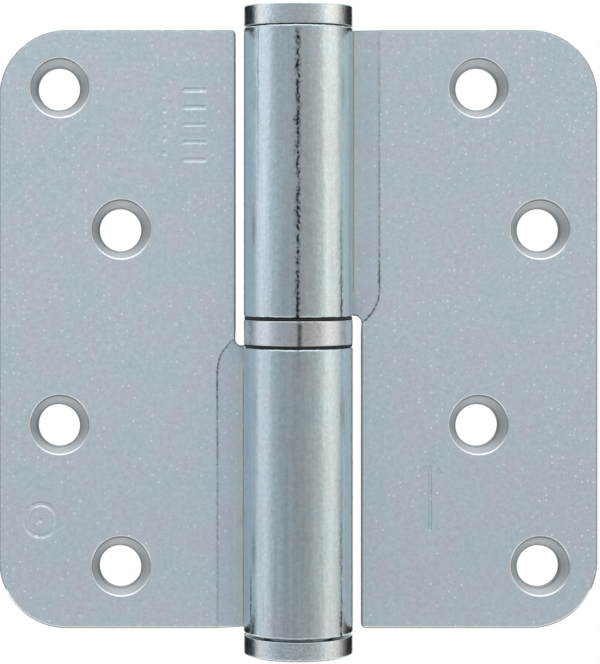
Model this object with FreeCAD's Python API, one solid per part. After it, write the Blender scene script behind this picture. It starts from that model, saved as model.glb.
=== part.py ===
# Lift-off ball bearing door hinge, right-handed, shown opened flat.
# Two alike pressings form the leaves. Each is a flat steel plate whose inner edge is
# cranked backwards and rolled into half of the barrel. The frame leaf carries the lower
# knuckle and the fixed pin, and the door leaf's upper knuckle drops over that pin and
# runs on a caged ball bearing between the two knuckles.
#
# Frame of the part: the pin axis is Z, upwards, and the origin is on it at mid height.
# The door leaf reaches towards +X and the frame leaf towards -X. The countersunk faces
# look towards -Y, and the leaves are screwed down on their +Y faces.
# All sizes are in millimetres and all angles in degrees.

import FreeCAD
import Part
import math
import os

from FreeCAD import Vector

# Leaves
leaf_height = 89.0
open_width = 89.0
leaf_thickness = 3.0
corner_radius = 10.0
inner_corner_radius = 0.6
closed_gap = 3.0
edge_rollover = 0.25

# Barrel
pin_diameter = 10.0
running_clearance = 0.08
knuckle_overrun = 0.19
bearing_height = 4.46
bearing_drop = 0.27
slot_width = 1.28
slot_root_radius = 1.0
knuckle_end_chamfer = 0.12
roll_seam_gap = 0.45

# Crank between each leaf and its knuckle
crank_width = 4.0
crank_corner_radius = 6.0
crank_run_out = 1.1

# Screw holes, the same zigzag on both leaves, a little above the leaves' middle
hole_diameter = 6.3
countersink_diameter = 8.95
countersink_lip_radius = 0.25
hole_burr_chamfer = 0.15
outer_column_inset = 8.75
column_spacing = 9.15
outer_row_spacing = 71.2
inner_row_spacing = 29.1
hole_rise = 0.15

# Pin
pin_top_clearance = 2.0
pin_foot_clearance = 0.3
pin_lead_length = 3.0
pin_lead_radius_drop = 1.2
pin_end_chamfer = 0.6
pin_shoulder_depth = 1.0

# End caps, each pressed in until its rim stands this far beyond the leaf's end
cap_stand_out = 3.35
cap_inset = 0.03
cap_rim_radius = 0.3
cap_seat_chamfer = 0.12
cap_spigot_length = 5.0
cap_spigot_chamfer = 0.5
top_cap_gap = 0.1
bottom_cap_gap = 0.3

# Ball bearing
ball_diameter = 1.588
ball_count = 16
ball_clearance = 0.03
groove_depth = 0.3
shell_wall = 0.58
shell_seam = 0.4
shell_chamfer = 0.1
race_pin_clearance = 0.1
race_shell_clearance = 0.08
race_edge_chamfer = 0.12
race_flange_inset = 0.08
race_flange_gap = 0.06
cage_side_clearance = 0.12
cage_pin_clearance = 0.22
cage_shell_clearance = 0.12
cage_pocket_clearance = 0.06

# Stamped marks: plain grooves in place of lettering
mark_depth = 0.2
mark_bold_radius = 0.42
mark_fine_radius = 0.26
bar_count = 5
bar_length = 3.0
bar_pitch = 2.6
bar_column_from_axis = 15.4
bar_row_height = 30.4
dot_count = 5
dot_pitch = 2.1
dot_column_from_axis = 19.9
ring_mark_radius = 2.4
ring_mark_from_axis = 38.3
ring_mark_height = -28.4
arrow_length = 10.4
arrow_head_length = 2.2
arrow_head_width = 3.2
arrow_column_from_axis = 19.6
arrow_row_height = -24.6

# Sizes that follow from the ones above
half_height = leaf_height / 2
half_width = open_width / 2
front_face = closed_gap / 2
back_face = front_face + leaf_thickness
pin_radius = pin_diameter / 2
bore_radius = pin_radius + running_clearance
knuckle_radius = bore_radius + leaf_thickness
knuckle_face = bearing_height / 2
knuckle_end = half_height + knuckle_overrun
slot_edge = knuckle_radius + slot_width
crease_x = knuckle_radius + crank_width
hole_radius = hole_diameter / 2
countersink_radius = countersink_diameter / 2
outer_column = half_width - outer_column_inset
inner_column = outer_column - column_spacing
cap_radius = knuckle_radius - cap_inset
barrel_end = half_height + cap_stand_out
cap_spigot_tip = knuckle_end - cap_spigot_length
shell_bore_radius = knuckle_radius - shell_wall
shell_half_height = knuckle_face - shell_seam
race_bore_radius = pin_radius + race_pin_clearance
race_flange_radius = knuckle_radius - race_flange_inset
race_flange_face = shell_half_height + race_flange_gap
ball_radius = ball_diameter / 2
groove_radius = ball_radius + ball_clearance
race_inner_face = groove_radius - groove_depth
pitch_radius = (race_bore_radius + shell_bore_radius) / 2
cage_half_height = race_inner_face - cage_side_clearance
pin_top = cap_spigot_tip - pin_top_clearance
pin_foot = -cap_spigot_tip + pin_foot_clearance

# The crank's front face leaves the leaf at the crease and meets the bore as a tangent.
# tangent_angle is where it touches, counted from +X round towards +Y.
crease_distance = math.hypot(crease_x, front_face)
tangent_angle = math.degrees(
    math.atan2(front_face, crease_x) + math.acos(bore_radius / crease_distance)
)
crank_slope = 90.0 - tangent_angle
crank_back_offset = leaf_thickness * math.tan(math.radians(crank_slope / 2))

# The crank's outline turns in towards the slot on an arc below the knuckle's end.
# crank_arc_sweep is how far that arc turns before it reaches the slot's edge, and
# crank_arc_rise how far above the knuckle's face it starts.
crank_arc_centre_x = crease_x - crank_corner_radius
crank_arc_sweep = math.degrees(
    math.acos((slot_edge - crank_arc_centre_x) / crank_corner_radius)
)
crank_arc_rise = (
    crank_corner_radius * math.sin(math.radians(crank_arc_sweep)) - crank_run_out
)

# How far cutting shapes run past the faces that they cut
margin = 1.0

Z_AXIS = Vector(0, 0, 1)
Y_AXIS = Vector(0, 1, 0)
ORIGIN = Vector(0, 0, 0)


def polar(radius, angle):
    """Point in the XY plane at a radius and an angle from +X."""
    turn = math.radians(angle)
    return Vector(radius * math.cos(turn), radius * math.sin(turn), 0)


def polygon_face(points):
    """Flat face inside a closed run of straight edges."""
    return Part.Face(Part.makePolygon(points + points[:1]))


def turned(profile):
    """Solid of revolution about Z from (radius, height) points."""
    points = [Vector(radius, 0, height) for radius, height in profile]
    return polygon_face(points).revolve(ORIGIN, Z_AXIS, 360)


def rounded_wire(corners, y):
    """Closed wire in the plane at y through (x, z, radius) corners, each one rounded."""
    spots = [Vector(x, y, z) for x, z, _ in corners]
    edges = []
    stretches = []
    for number, spot in enumerate(spots):
        radius = corners[number][2]
        to_last = (spots[number - 1] - spot).normalize()
        to_next = (spots[(number + 1) % len(spots)] - spot).normalize()
        if radius == 0:
            stretches.append((spot, spot))
            continue
        half_turn = to_last.getAngle(to_next) / 2
        reach = radius / math.tan(half_turn)
        inward = (to_last + to_next).normalize()
        centre = spot + inward * (radius / math.sin(half_turn))
        start = spot + to_last * reach
        end = spot + to_next * reach
        edges.append(Part.Arc(start, centre - inward * radius, end).toShape())
        stretches.append((start, end))
    for number, (_, end) in enumerate(stretches):
        following = stretches[(number + 1) % len(stretches)][0]
        edges.append(Part.LineSegment(end, following).toShape())
    return Part.Wire(Part.__sortEdges__(edges))


def leaf_plan(y, face):
    """Outline of a leaf from the pin's axis outwards, with its knuckle's face at a height."""
    corners = [
        (0, face, 0),
        (slot_edge, face, slot_root_radius),
        (slot_edge, -half_height, inner_corner_radius),
        (half_width, -half_height, corner_radius),
        (half_width, half_height, corner_radius),
        (0, half_height, 0),
    ]
    return Part.Face(rounded_wire(corners, y))


def plate(face):
    """The flat blank of a leaf, with its front edges rolled over by the punch."""
    blank = leaf_plan(front_face, face).extrude(Vector(0, leaf_thickness, 0))
    front_edges = [
        edge
        for edge in blank.Edges
        if edge.BoundBox.YMax < front_face + leaf_thickness / 2
        and edge.BoundBox.XMax > slot_edge / 2
    ]
    return blank.makeFillet(edge_rollover, front_edges)


def crank_stations(arc_top):
    """Heights and crease positions down the crank's arc, from its top to past the slot."""
    steps = 8
    last_turn = crank_arc_sweep + 4.0
    stations = []
    for step in range(steps + 1):
        turn = math.radians(last_turn * step / steps)
        height = arc_top - crank_corner_radius * math.sin(turn)
        crease = crank_arc_centre_x + crank_corner_radius * math.cos(turn)
        stations.append((height, crease))
    return stations


def crank_front_outline(crease, height):
    """Section of what the crank's press removes in front of the sheet, at one height."""
    touch = polar(bore_radius, tangent_angle)
    along = polar(2 * margin, tangent_angle + 90)
    clear = front_face - margin
    points = [
        Vector(crease, front_face, 0),
        touch,
        touch + along,
        Vector((touch + along).x, clear, 0),
        Vector(crease, clear, 0),
    ]
    return Part.makePolygon([p + Z_AXIS * height for p in points + points[:1]])


def crank_back_outline(crease, height):
    """Section of the sheet that bulges behind the leaf, at one height."""
    back_crease = crease + crank_back_offset
    points = [
        Vector(back_crease, back_face, 0),
        polar(knuckle_radius, tangent_angle),
        polar(bore_radius - margin, tangent_angle),
        Vector(back_crease, back_face - leaf_thickness / 2, 0),
    ]
    return Part.makePolygon([p + Z_AXIS * height for p in points + points[:1]])


def crank_form(outline, top, arc_top):
    """Solid that follows one crank section down the straight and round the arc."""
    upper = Part.Face(outline(crease_x, arc_top))
    straight = upper.extrude(Z_AXIS * (top - arc_top))
    sections = [outline(crease, height) for height, crease in crank_stations(arc_top)]
    arc = Part.makeLoft(sections, True, False)
    return straight.fuse(arc)


def knuckle(face):
    """Rolled barrel half, open at the seam where the sheet's end stops short of the crank."""
    c = knuckle_end_chamfer
    profile = [
        (bore_radius, face),
        (knuckle_radius - c, face),
        (knuckle_radius, face + c),
        (knuckle_radius, knuckle_end - c),
        (knuckle_radius - c, knuckle_end),
        (bore_radius, knuckle_end),
    ]
    section = polygon_face([Vector(radius, 0, height) for radius, height in profile])
    seam = math.degrees(math.acos((bore_radius - roll_seam_gap) / knuckle_radius))
    section.rotate(ORIGIN, Z_AXIS, tangent_angle)
    return section.revolve(ORIGIN, Z_AXIS, 360 - seam)


def screw_hole(x, z):
    """Countersunk hole tool with a rounded lip, along +Y from in front of the leaf."""
    lip = countersink_lip_radius
    reach = lip * math.tan(math.radians(22.5))
    slant = reach * math.sqrt(0.5)
    rounding = lip * (1 - math.sqrt(0.5))
    lip_start = Vector(countersink_radius + reach, 0, 0)
    lip_middle_radius = countersink_radius + reach - lip * math.sin(math.radians(22.5))
    lip_middle = Vector(lip_middle_radius, lip * (1 - math.cos(math.radians(22.5))), 0)
    lip_end = Vector(countersink_radius - slant, rounding, 0)
    floor = countersink_radius - hole_radius
    burr = hole_burr_chamfer
    flats = [
        lip_end,
        Vector(hole_radius, floor, 0),
        Vector(hole_radius, leaf_thickness - burr, 0),
        Vector(hole_radius + burr, leaf_thickness, 0),
        Vector(hole_radius + burr, leaf_thickness + margin, 0),
        Vector(0, leaf_thickness + margin, 0),
        Vector(0, -margin, 0),
        Vector(lip_start.x, -margin, 0),
        lip_start,
    ]
    edges = [Part.Arc(lip_start, lip_middle, lip_end).toShape()]
    for start, end in zip(flats, flats[1:]):
        edges.append(Part.LineSegment(start, end).toShape())
    face = Part.Face(Part.Wire(Part.__sortEdges__(edges)))
    tool = face.revolve(ORIGIN, Y_AXIS, 360)
    tool.translate(Vector(x, front_face, z))
    return tool


def hole_spots():
    """Hole centres of the door leaf, from the top down, alternating between two columns."""
    rows = [
        outer_row_spacing / 2,
        inner_row_spacing / 2,
        -inner_row_spacing / 2,
        -outer_row_spacing / 2,
    ]
    columns = [inner_column, outer_column, inner_column, outer_column]
    return list(zip(columns, rows))


def pressing(way_up):
    """One leaf with its crank, rolled knuckle and holes, as it lies with its knuckle up.

    way_up is 1 for the leaf that is used like that and -1 for the one that is turned
    over, so that holes sit higher and the bearing sits lower in the finished hinge.
    """
    face = knuckle_face - way_up * bearing_drop
    arc_top = face + crank_arc_rise
    above = half_height + margin
    deep_plan = leaf_plan(0, face).extrude(Vector(0, knuckle_radius + margin, 0))
    bulge = crank_form(crank_back_outline, above, arc_top).common(deep_plan)
    sheet = plate(face).fuse(bulge)
    sheet = sheet.cut(crank_form(crank_front_outline, above, arc_top))
    leaf = sheet.fuse(knuckle(face))
    for x, z in hole_spots():
        leaf = leaf.cut(screw_hole(x, z + way_up * hole_rise))
    return leaf.removeSplitter()


def groove(start, end, radius):
    """Round-bottomed stamped groove between two (x, z) points on the front face."""
    height = front_face - (radius - mark_depth)
    a = Vector(start[0], height, start[1])
    b = Vector(end[0], height, end[1])
    bar = Part.makeCylinder(radius, (b - a).Length, a, b - a)
    ends = [Part.makeSphere(radius, spot) for spot in (a, b)]
    return bar.fuse(ends)


def dimple(x, z, radius):
    """Round stamped dot on the front face."""
    return Part.makeSphere(radius, Vector(x, front_face - (radius - mark_depth), z))


def bar_marks():
    """Column of short bars on the frame leaf."""
    x = -bar_column_from_axis
    marks = []
    for number in range(bar_count):
        z = bar_row_height + (number - (bar_count - 1) / 2) * bar_pitch
        left = (x - bar_length / 2, z)
        right = (x + bar_length / 2, z)
        marks.append(groove(left, right, mark_bold_radius))
    return marks


def dot_marks():
    """Column of round dots beside the bars."""
    marks = []
    for number in range(dot_count):
        z = bar_row_height + (number - (dot_count - 1) / 2) * dot_pitch
        marks.append(dimple(-dot_column_from_axis, z, mark_bold_radius))
    return marks


def ring_mark():
    """Ring with a dot at its centre, near the frame leaf's lower corner."""
    x = -ring_mark_from_axis
    height = front_face - (mark_bold_radius - mark_depth)
    centre = Vector(x, height, ring_mark_height)
    ring = Part.makeTorus(ring_mark_radius, mark_bold_radius, centre, Y_AXIS)
    return [ring, dimple(x, ring_mark_height, mark_bold_radius)]


def arrow_mark():
    """Thin arrow that points up, on the door leaf."""
    x = arrow_column_from_axis
    tip = (x, arrow_row_height + arrow_length / 2)
    foot = (x, arrow_row_height - arrow_length / 2)
    marks = [groove(foot, tip, mark_fine_radius)]
    for side in (-1, 1):
        barb = (x + side * arrow_head_width / 2, tip[1] - arrow_head_length)
        marks.append(groove(barb, tip, mark_fine_radius))
    return marks


def door_leaf():
    """The pressing as it is, with the arrow."""
    marks = arrow_mark()
    return pressing(1).cut(marks[0].fuse(marks[1:]))


def frame_leaf():
    """A pressing turned half a turn in its own plane, with bars, dots and ring."""
    turned_leaf = pressing(-1)
    turned_leaf.rotate(ORIGIN, Y_AXIS, 180)
    for mark in bar_marks() + dot_marks() + ring_mark():
        turned_leaf = turned_leaf.cut(mark)
    return turned_leaf


def hinge_pin():
    """Pin held in the lower knuckle, slimmer where it runs, with a lead at its top."""
    shoulder = -knuckle_face - bearing_drop - pin_shoulder_depth
    profile = [
        (0, pin_foot),
        (bore_radius - pin_end_chamfer, pin_foot),
        (bore_radius, pin_foot + pin_end_chamfer),
        (bore_radius, shoulder),
        (pin_radius, shoulder + running_clearance),
        (pin_radius, pin_top - pin_lead_length),
        (pin_radius - pin_lead_radius_drop, pin_top),
        (0, pin_top),
    ]
    return turned(profile)


def cap(gap):
    """Button on top of the barrel, a gap above the knuckle, with a spigot in the bore."""
    rim = barrel_end
    cap_seat = knuckle_end + gap
    tip = cap_spigot_tip
    c = cap_seat_chamfer
    r = cap_rim_radius
    rim_start = Vector(cap_radius, 0, rim - r)
    rim_middle = Vector(cap_radius - r + r * math.sqrt(0.5), 0, rim - r + r * math.sqrt(0.5))
    rim_end = Vector(cap_radius - r, 0, rim)
    flats = [
        rim_end,
        Vector(0, 0, rim),
        Vector(0, 0, tip),
        Vector(bore_radius - cap_spigot_chamfer, 0, tip),
        Vector(bore_radius, 0, tip + cap_spigot_chamfer),
        Vector(bore_radius, 0, cap_seat),
        Vector(cap_radius - c, 0, cap_seat),
        Vector(cap_radius, 0, cap_seat + c),
        rim_start,
    ]
    edges = [Part.Arc(rim_start, rim_middle, rim_end).toShape()]
    for start, end in zip(flats, flats[1:]):
        edges.append(Part.LineSegment(start, end).toShape())
    face = Part.Face(Part.Wire(Part.__sortEdges__(edges)))
    return face.revolve(ORIGIN, Z_AXIS, 360)


def top_cap():
    """Button that closes the top of the barrel."""
    return cap(top_cap_gap)


def bottom_cap():
    """Button that closes the foot of the barrel, with a wider gap and a thinner flange."""
    button = cap(bottom_cap_gap)
    button.rotate(ORIGIN, Y_AXIS, 180)
    return button


def race(rim_radius):
    """Upper race: a flanged washer with a ball groove in its lower face."""
    c = race_edge_chamfer
    profile = [
        (race_bore_radius, race_inner_face),
        (rim_radius, race_inner_face),
        (rim_radius, race_flange_face),
        (race_flange_radius, race_flange_face),
        (race_flange_radius, knuckle_face - c),
        (race_flange_radius - c, knuckle_face),
        (race_bore_radius + c, knuckle_face),
        (race_bore_radius, knuckle_face - c),
    ]
    return turned(profile).cut(Part.makeTorus(pitch_radius, groove_radius))


def lower_race():
    """The same washer facing up, pressed into the shell."""
    washer = race(shell_bore_radius)
    washer.rotate(ORIGIN, Y_AXIS, 180)
    return washer


def bearing_shell():
    """Ring that shows between the knuckles and hides the balls."""
    c = shell_chamfer
    profile = [
        (shell_bore_radius, -shell_half_height),
        (knuckle_radius - c, -shell_half_height),
        (knuckle_radius, -shell_half_height + c),
        (knuckle_radius, shell_half_height - c),
        (knuckle_radius - c, shell_half_height),
        (shell_bore_radius, shell_half_height),
    ]
    return turned(profile)


def ball_spots():
    """Ball centres round the pin."""
    return [polar(pitch_radius, 360.0 * n / ball_count) for n in range(ball_count)]


def ball_cage():
    """Flat ring with one pocket for each ball."""
    inner = pin_radius + cage_pin_clearance
    outer = shell_bore_radius - cage_shell_clearance
    profile = [
        (inner, -cage_half_height),
        (outer, -cage_half_height),
        (outer, cage_half_height),
        (inner, cage_half_height),
    ]
    ring = turned(profile)
    pocket_radius = ball_radius + cage_pocket_clearance
    depth = 2 * (cage_half_height + margin)
    foot = Z_AXIS * (cage_half_height + margin)
    for spot in ball_spots():
        ring = ring.cut(Part.makeCylinder(pocket_radius, depth, spot - foot, Z_AXIS))
    return ring


def bearing_pieces():
    """Every piece of the bearing by its name, lowered to where the bearing sits."""
    pieces = {
        "bearing_shell": bearing_shell(),
        "upper_race": race(shell_bore_radius - race_shell_clearance),
        "lower_race": lower_race(),
        "ball_cage": ball_cage(),
    }
    for number, spot in enumerate(ball_spots(), start=1):
        pieces[f"ball_{number:02d}"] = Part.makeSphere(ball_radius, spot)
    for piece in pieces.values():
        piece.translate(Z_AXIS * -bearing_drop)
    return pieces


def subparts():
    """Every separate piece by its name."""
    pieces = {
        "frame_leaf": frame_leaf(),
        "door_leaf": door_leaf(),
        "hinge_pin": hinge_pin(),
        "top_cap": top_cap(),
        "bottom_cap": bottom_cap(),
    }
    pieces.update(bearing_pieces())
    return pieces


def main():
    """Builds each piece and writes it under its own name."""
    os.makedirs("parts", exist_ok=True)
    for name, shape in subparts().items():
        solids = shape.Solids
        whole = solids[0] if len(solids) == 1 else Part.makeCompound(solids)
        whole.exportStep(f"parts/{name}.step")
        print(f"{name}: {len(solids)} solid, {whole.Volume:.1f} mm3, valid {whole.isValid()}")


main()
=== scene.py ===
"""Looks of a lift-off ball bearing door hinge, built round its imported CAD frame.

The hinge is opened flat. Its pin axis is Z, the door leaf reaches towards +X, the frame
leaf towards -X, and the countersunk faces look towards -Y. Sizes in the classes are in
millimetres, and meshes are written in metres.
"""

import logging
import math
from collections.abc import Callable
from dataclasses import dataclass
from enum import Enum
from functools import partial
from typing import ClassVar, NamedTuple

import bpy
import numpy as np
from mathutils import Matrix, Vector
from mathutils.geometry import delaunay_2d_cdt


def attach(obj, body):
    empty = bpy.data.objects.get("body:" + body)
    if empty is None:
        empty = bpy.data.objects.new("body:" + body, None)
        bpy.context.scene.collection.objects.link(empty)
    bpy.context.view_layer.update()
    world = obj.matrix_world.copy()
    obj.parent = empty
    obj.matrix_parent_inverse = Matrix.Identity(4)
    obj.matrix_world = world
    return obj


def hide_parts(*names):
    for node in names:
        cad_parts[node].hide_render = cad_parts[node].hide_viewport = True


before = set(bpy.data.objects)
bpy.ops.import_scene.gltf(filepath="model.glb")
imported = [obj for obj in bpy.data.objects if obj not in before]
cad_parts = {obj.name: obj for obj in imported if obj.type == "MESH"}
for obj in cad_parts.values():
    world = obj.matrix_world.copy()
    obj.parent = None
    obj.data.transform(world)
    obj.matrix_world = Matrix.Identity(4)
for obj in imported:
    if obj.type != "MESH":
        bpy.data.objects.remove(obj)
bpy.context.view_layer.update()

MM = 0.001
# Scale that turns Object coordinates from metres into millimetres
IN_MM = (1000, 1000, 1000)
# Distance in an attribute that stands for nowhere near
FAR = 9.0
WHITE = (1.0, 1.0, 1.0, 1.0)
Feed = bpy.types.Node | bpy.types.NodeSocket
Adder = Callable[..., bpy.types.Node]
Points = list[tuple[float, float]]
Colour = tuple[float, float, float, float]
log = logging.getLogger("hinge")


class Body(Enum):
    """CAD bodies that the pieces ride on."""

    FRAME = "frame_side"
    DOOR = "door_side"
    CAGE = "cage_ring"


class Side(Enum):
    """Which way a pressing is laid in the hinge."""

    DOOR = 1
    FRAME = -1


# Small shared helpers


def linear(hex_colour: str) -> Colour:
    """Turns an sRGB hex colour into linear RGBA.

    Args:
        hex_colour: Six hex digits with a leading number sign.

    Returns:
        Linear red, green, blue and an alpha of one.
    """
    channels = [int(hex_colour[i : i + 2], 16) / 255 for i in (1, 3, 5)]
    out = [c / 12.92 if c <= 0.04045 else ((c + 0.055) / 1.055) ** 2.4 for c in channels]
    return (out[0], out[1], out[2], 1.0)


def add_node(
    tree: bpy.types.NodeTree, kind: str, links: dict | tuple = (), **settings: object
) -> bpy.types.Node:
    """Adds one node with its settings, values and links.

    Args:
        tree: Node tree that gets the node.
        kind: Blender's type name, which may leave out a leading ShaderNode.
        links: Value of each input, by name or number, or in order. A node stands for its
            first output in use.
        settings: Attributes of the node itself.

    Returns:
        The new node.
    """
    node = tree.nodes.new(kind if "Node" in kind else "ShaderNode" + kind)
    for name, value in settings.items():
        setattr(node, name, value)
    for key, value in links.items() if isinstance(links, dict) else enumerate(links):
        if isinstance(value, bpy.types.Node):
            value = next(output for output in value.outputs if output.enabled)
        if isinstance(value, bpy.types.NodeSocket):
            tree.links.new(value, node.inputs[key])
        else:
            node.inputs[key].default_value = value
    return node


def set_stops(node: bpy.types.Node, stops: list | tuple) -> bpy.types.Node:
    """Writes a colour ramp's stops.

    Args:
        node: Colour ramp node.
        stops: Position and either a grey level or a linear colour, from low to high.

    Returns:
        The same node.
    """
    elements = node.color_ramp.elements
    while len(elements) < len(stops):
        elements.new(1.0)
    for element, (position, value) in zip(elements, stops):
        element.position = position
        element.color = value if isinstance(value, tuple) else (value, value, value, 1.0)
    return node


def new_material(name: str) -> tuple[bpy.types.Material, Adder]:
    """Starts a material.

    Args:
        name: Name of the material.

    Returns:
        The material without nodes, and the function that adds a node to it.
    """
    made = bpy.data.materials.new(name)
    made.use_nodes = True
    made.node_tree.nodes.clear()
    return made, partial(add_node, made.node_tree)


def mesh_object(
    name: str, points: np.ndarray | list, faces: list, edges: list | None = None
) -> bpy.types.Object:
    """Makes a mesh object at the origin.

    Args:
        name: Piece name.
        points: Vertices in millimetres.
        faces: Vertex numbers of each face.
        edges: Vertex numbers of each loose edge.

    Returns:
        The linked object, in metres.
    """
    mesh = bpy.data.meshes.new(name)
    mesh.from_pydata((np.asarray(points) * MM).tolist(), edges or [], faces)
    mesh.validate()
    thing = bpy.data.objects.new(name, mesh)
    bpy.context.scene.collection.objects.link(thing)
    return thing


def new_tree(name: str, **inputs: str) -> tuple[bpy.types.NodeTree, Adder, dict[str, Feed]]:
    """Starts a geometry node tree with one geometry output.

    Args:
        name: Name of the tree.
        inputs: Each input's socket type without its leading NodeSocket.

    Returns:
        The tree, the function that adds a node to it, and its inputs by name.
    """
    tree = bpy.data.node_groups.new(name, "GeometryNodeTree")
    for label, kind in inputs.items():
        tree.interface.new_socket(name=label, in_out="INPUT", socket_type="NodeSocket" + kind)
    tree.interface.new_socket(
        name="Geometry", in_out="OUTPUT", socket_type="NodeSocketGeometry"
    )
    given = tree.nodes.new("NodeGroupInput")
    return tree, partial(add_node, tree), {label: given.outputs[label] for label in inputs}


def finish_tree(add: Adder, made: Feed, material: bpy.types.Material) -> None:
    """Ends a tree in Realize Instances and Set Material.

    Args:
        add: Adds a node to the tree.
        made: Geometry that the tree has made.
        material: Material that all of it gets.
    """
    real = add("GeometryNodeRealizeInstances", (made,))
    dressed = add("GeometryNodeSetMaterial", {"Geometry": real, "Material": material})
    add("NodeGroupOutput", (dressed,))


def bake_tree(thing: bpy.types.Object, tree: bpy.types.NodeTree, **values: object) -> None:
    """Runs a tree on an object and keeps its result as the object's plain mesh.

    Args:
        thing: Object that gets the result.
        tree: Tree with named inputs.
        values: Value of each input.
    """
    modifier = thing.modifiers.new(tree.name, "NODES")
    modifier.node_group = tree
    for item in tree.interface.items_tree:
        if item.in_out == "INPUT" and item.name in values:
            modifier[item.identifier] = values[item.name]
    graph = bpy.context.evaluated_depsgraph_get()
    graph.update()
    thing_now = thing.evaluated_get(graph)
    mesh = bpy.data.meshes.new_from_object(
        thing_now, preserve_all_data_layers=True, depsgraph=graph
    )
    thing.modifiers.clear()
    thing.data = mesh
    mesh.name = thing.name


def smooth(thing: bpy.types.Object, angle: float) -> None:
    """Shades a mesh smooth, with edges sharper than an angle in degrees kept sharp."""
    thing.data.shade_smooth()
    thing.data.set_sharp_from_angle(angle=math.radians(angle))


def point_outwards(thing: bpy.types.Object) -> None:
    """Turns a closed mesh so that its faces point outwards."""
    mesh = thing.data
    mesh.calc_loop_triangles()
    co = np.zeros(len(mesh.vertices) * 3)
    mesh.vertices.foreach_get("co", co)
    tris = np.zeros(len(mesh.loop_triangles) * 3, dtype=int)
    mesh.loop_triangles.foreach_get("vertices", tris)
    corner = co.reshape(-1, 3)[tris.reshape(-1, 3)]
    if np.einsum("ij,ij->i", corner[:, 0], np.cross(corner[:, 1], corner[:, 2])).sum() < 0:
        mesh.flip_normals()


def settle(thing: bpy.types.Object, body: Body, replaced: list[str]) -> None:
    """Makes a finished piece ride on its body, and hides the CAD nodes that it stands for.

    Args:
        thing: Finished piece.
        body: Body that carries it.
        replaced: CAD nodes that the piece stands for.
    """
    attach(thing, body.value)
    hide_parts(*replaced)
    log.info("%s rides on %s, %d faces", thing.name, body.value, len(thing.data.polygons))


# Finishes


class DarkStreak(NamedTuple):
    """A ragged dark streak on the sheet, which is painted shade or a painted dark reflection.

    It is measured across the attribute arc, which runs round the barrel from its front
    middle, or crease, which runs across the crank's crease. The stops say how strong it
    is from z -45 to z 45.
    """

    across: str
    place: float
    half_width: float
    period: float
    stops: tuple[tuple[float, float], ...]


DARK_STREAKS = (
    # Painted dark reflection down the middle of the upper barrel's front
    DarkStreak(
        "arc",
        -0.05,
        1.15,
        4.0,
        ((0.42, 0.0), (0.455, 0.35), (0.475, 0.6), (0.52, 1.0), (0.985, 1.0), (0.992, 0.0)),
    ),
    # Painted dark reflections at the barrel's right and left sides
    DarkStreak(
        "arc",
        7.25,
        0.8,
        9.0,
        (
            (0.0, 1.0),
            (0.13, 0.6),
            (0.3, 0.15),
            (0.5, 0.3),
            (0.53, 0.9),
            (0.60, 0.7),
            (0.72, 0.15),
        ),
    ),
    DarkStreak("arc", -8.35, 0.7, 11.0, ((0.0, 0.9), (0.07, 0.8), (0.12, 0.0))),
    DarkStreak("arc", -6.6, 0.45, 5.0, ((0.70, 0.0), (0.8, 0.35), (1.0, 0.45))),
    # Painted shade along each crank's crease, where the bump also sinks a shallow score
    DarkStreak(
        "crease",
        0.0,
        0.42,
        5.0,
        ((0.0, 0.2), (0.25, 0.4), (0.42, 0.8), (0.58, 0.8), (0.75, 0.4), (1.0, 0.15)),
    ),
)


class Draft(NamedTuple):
    """A leaf's material being drawn."""

    add: Adder
    spot: Feed
    read: dict[str, Feed]


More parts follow.
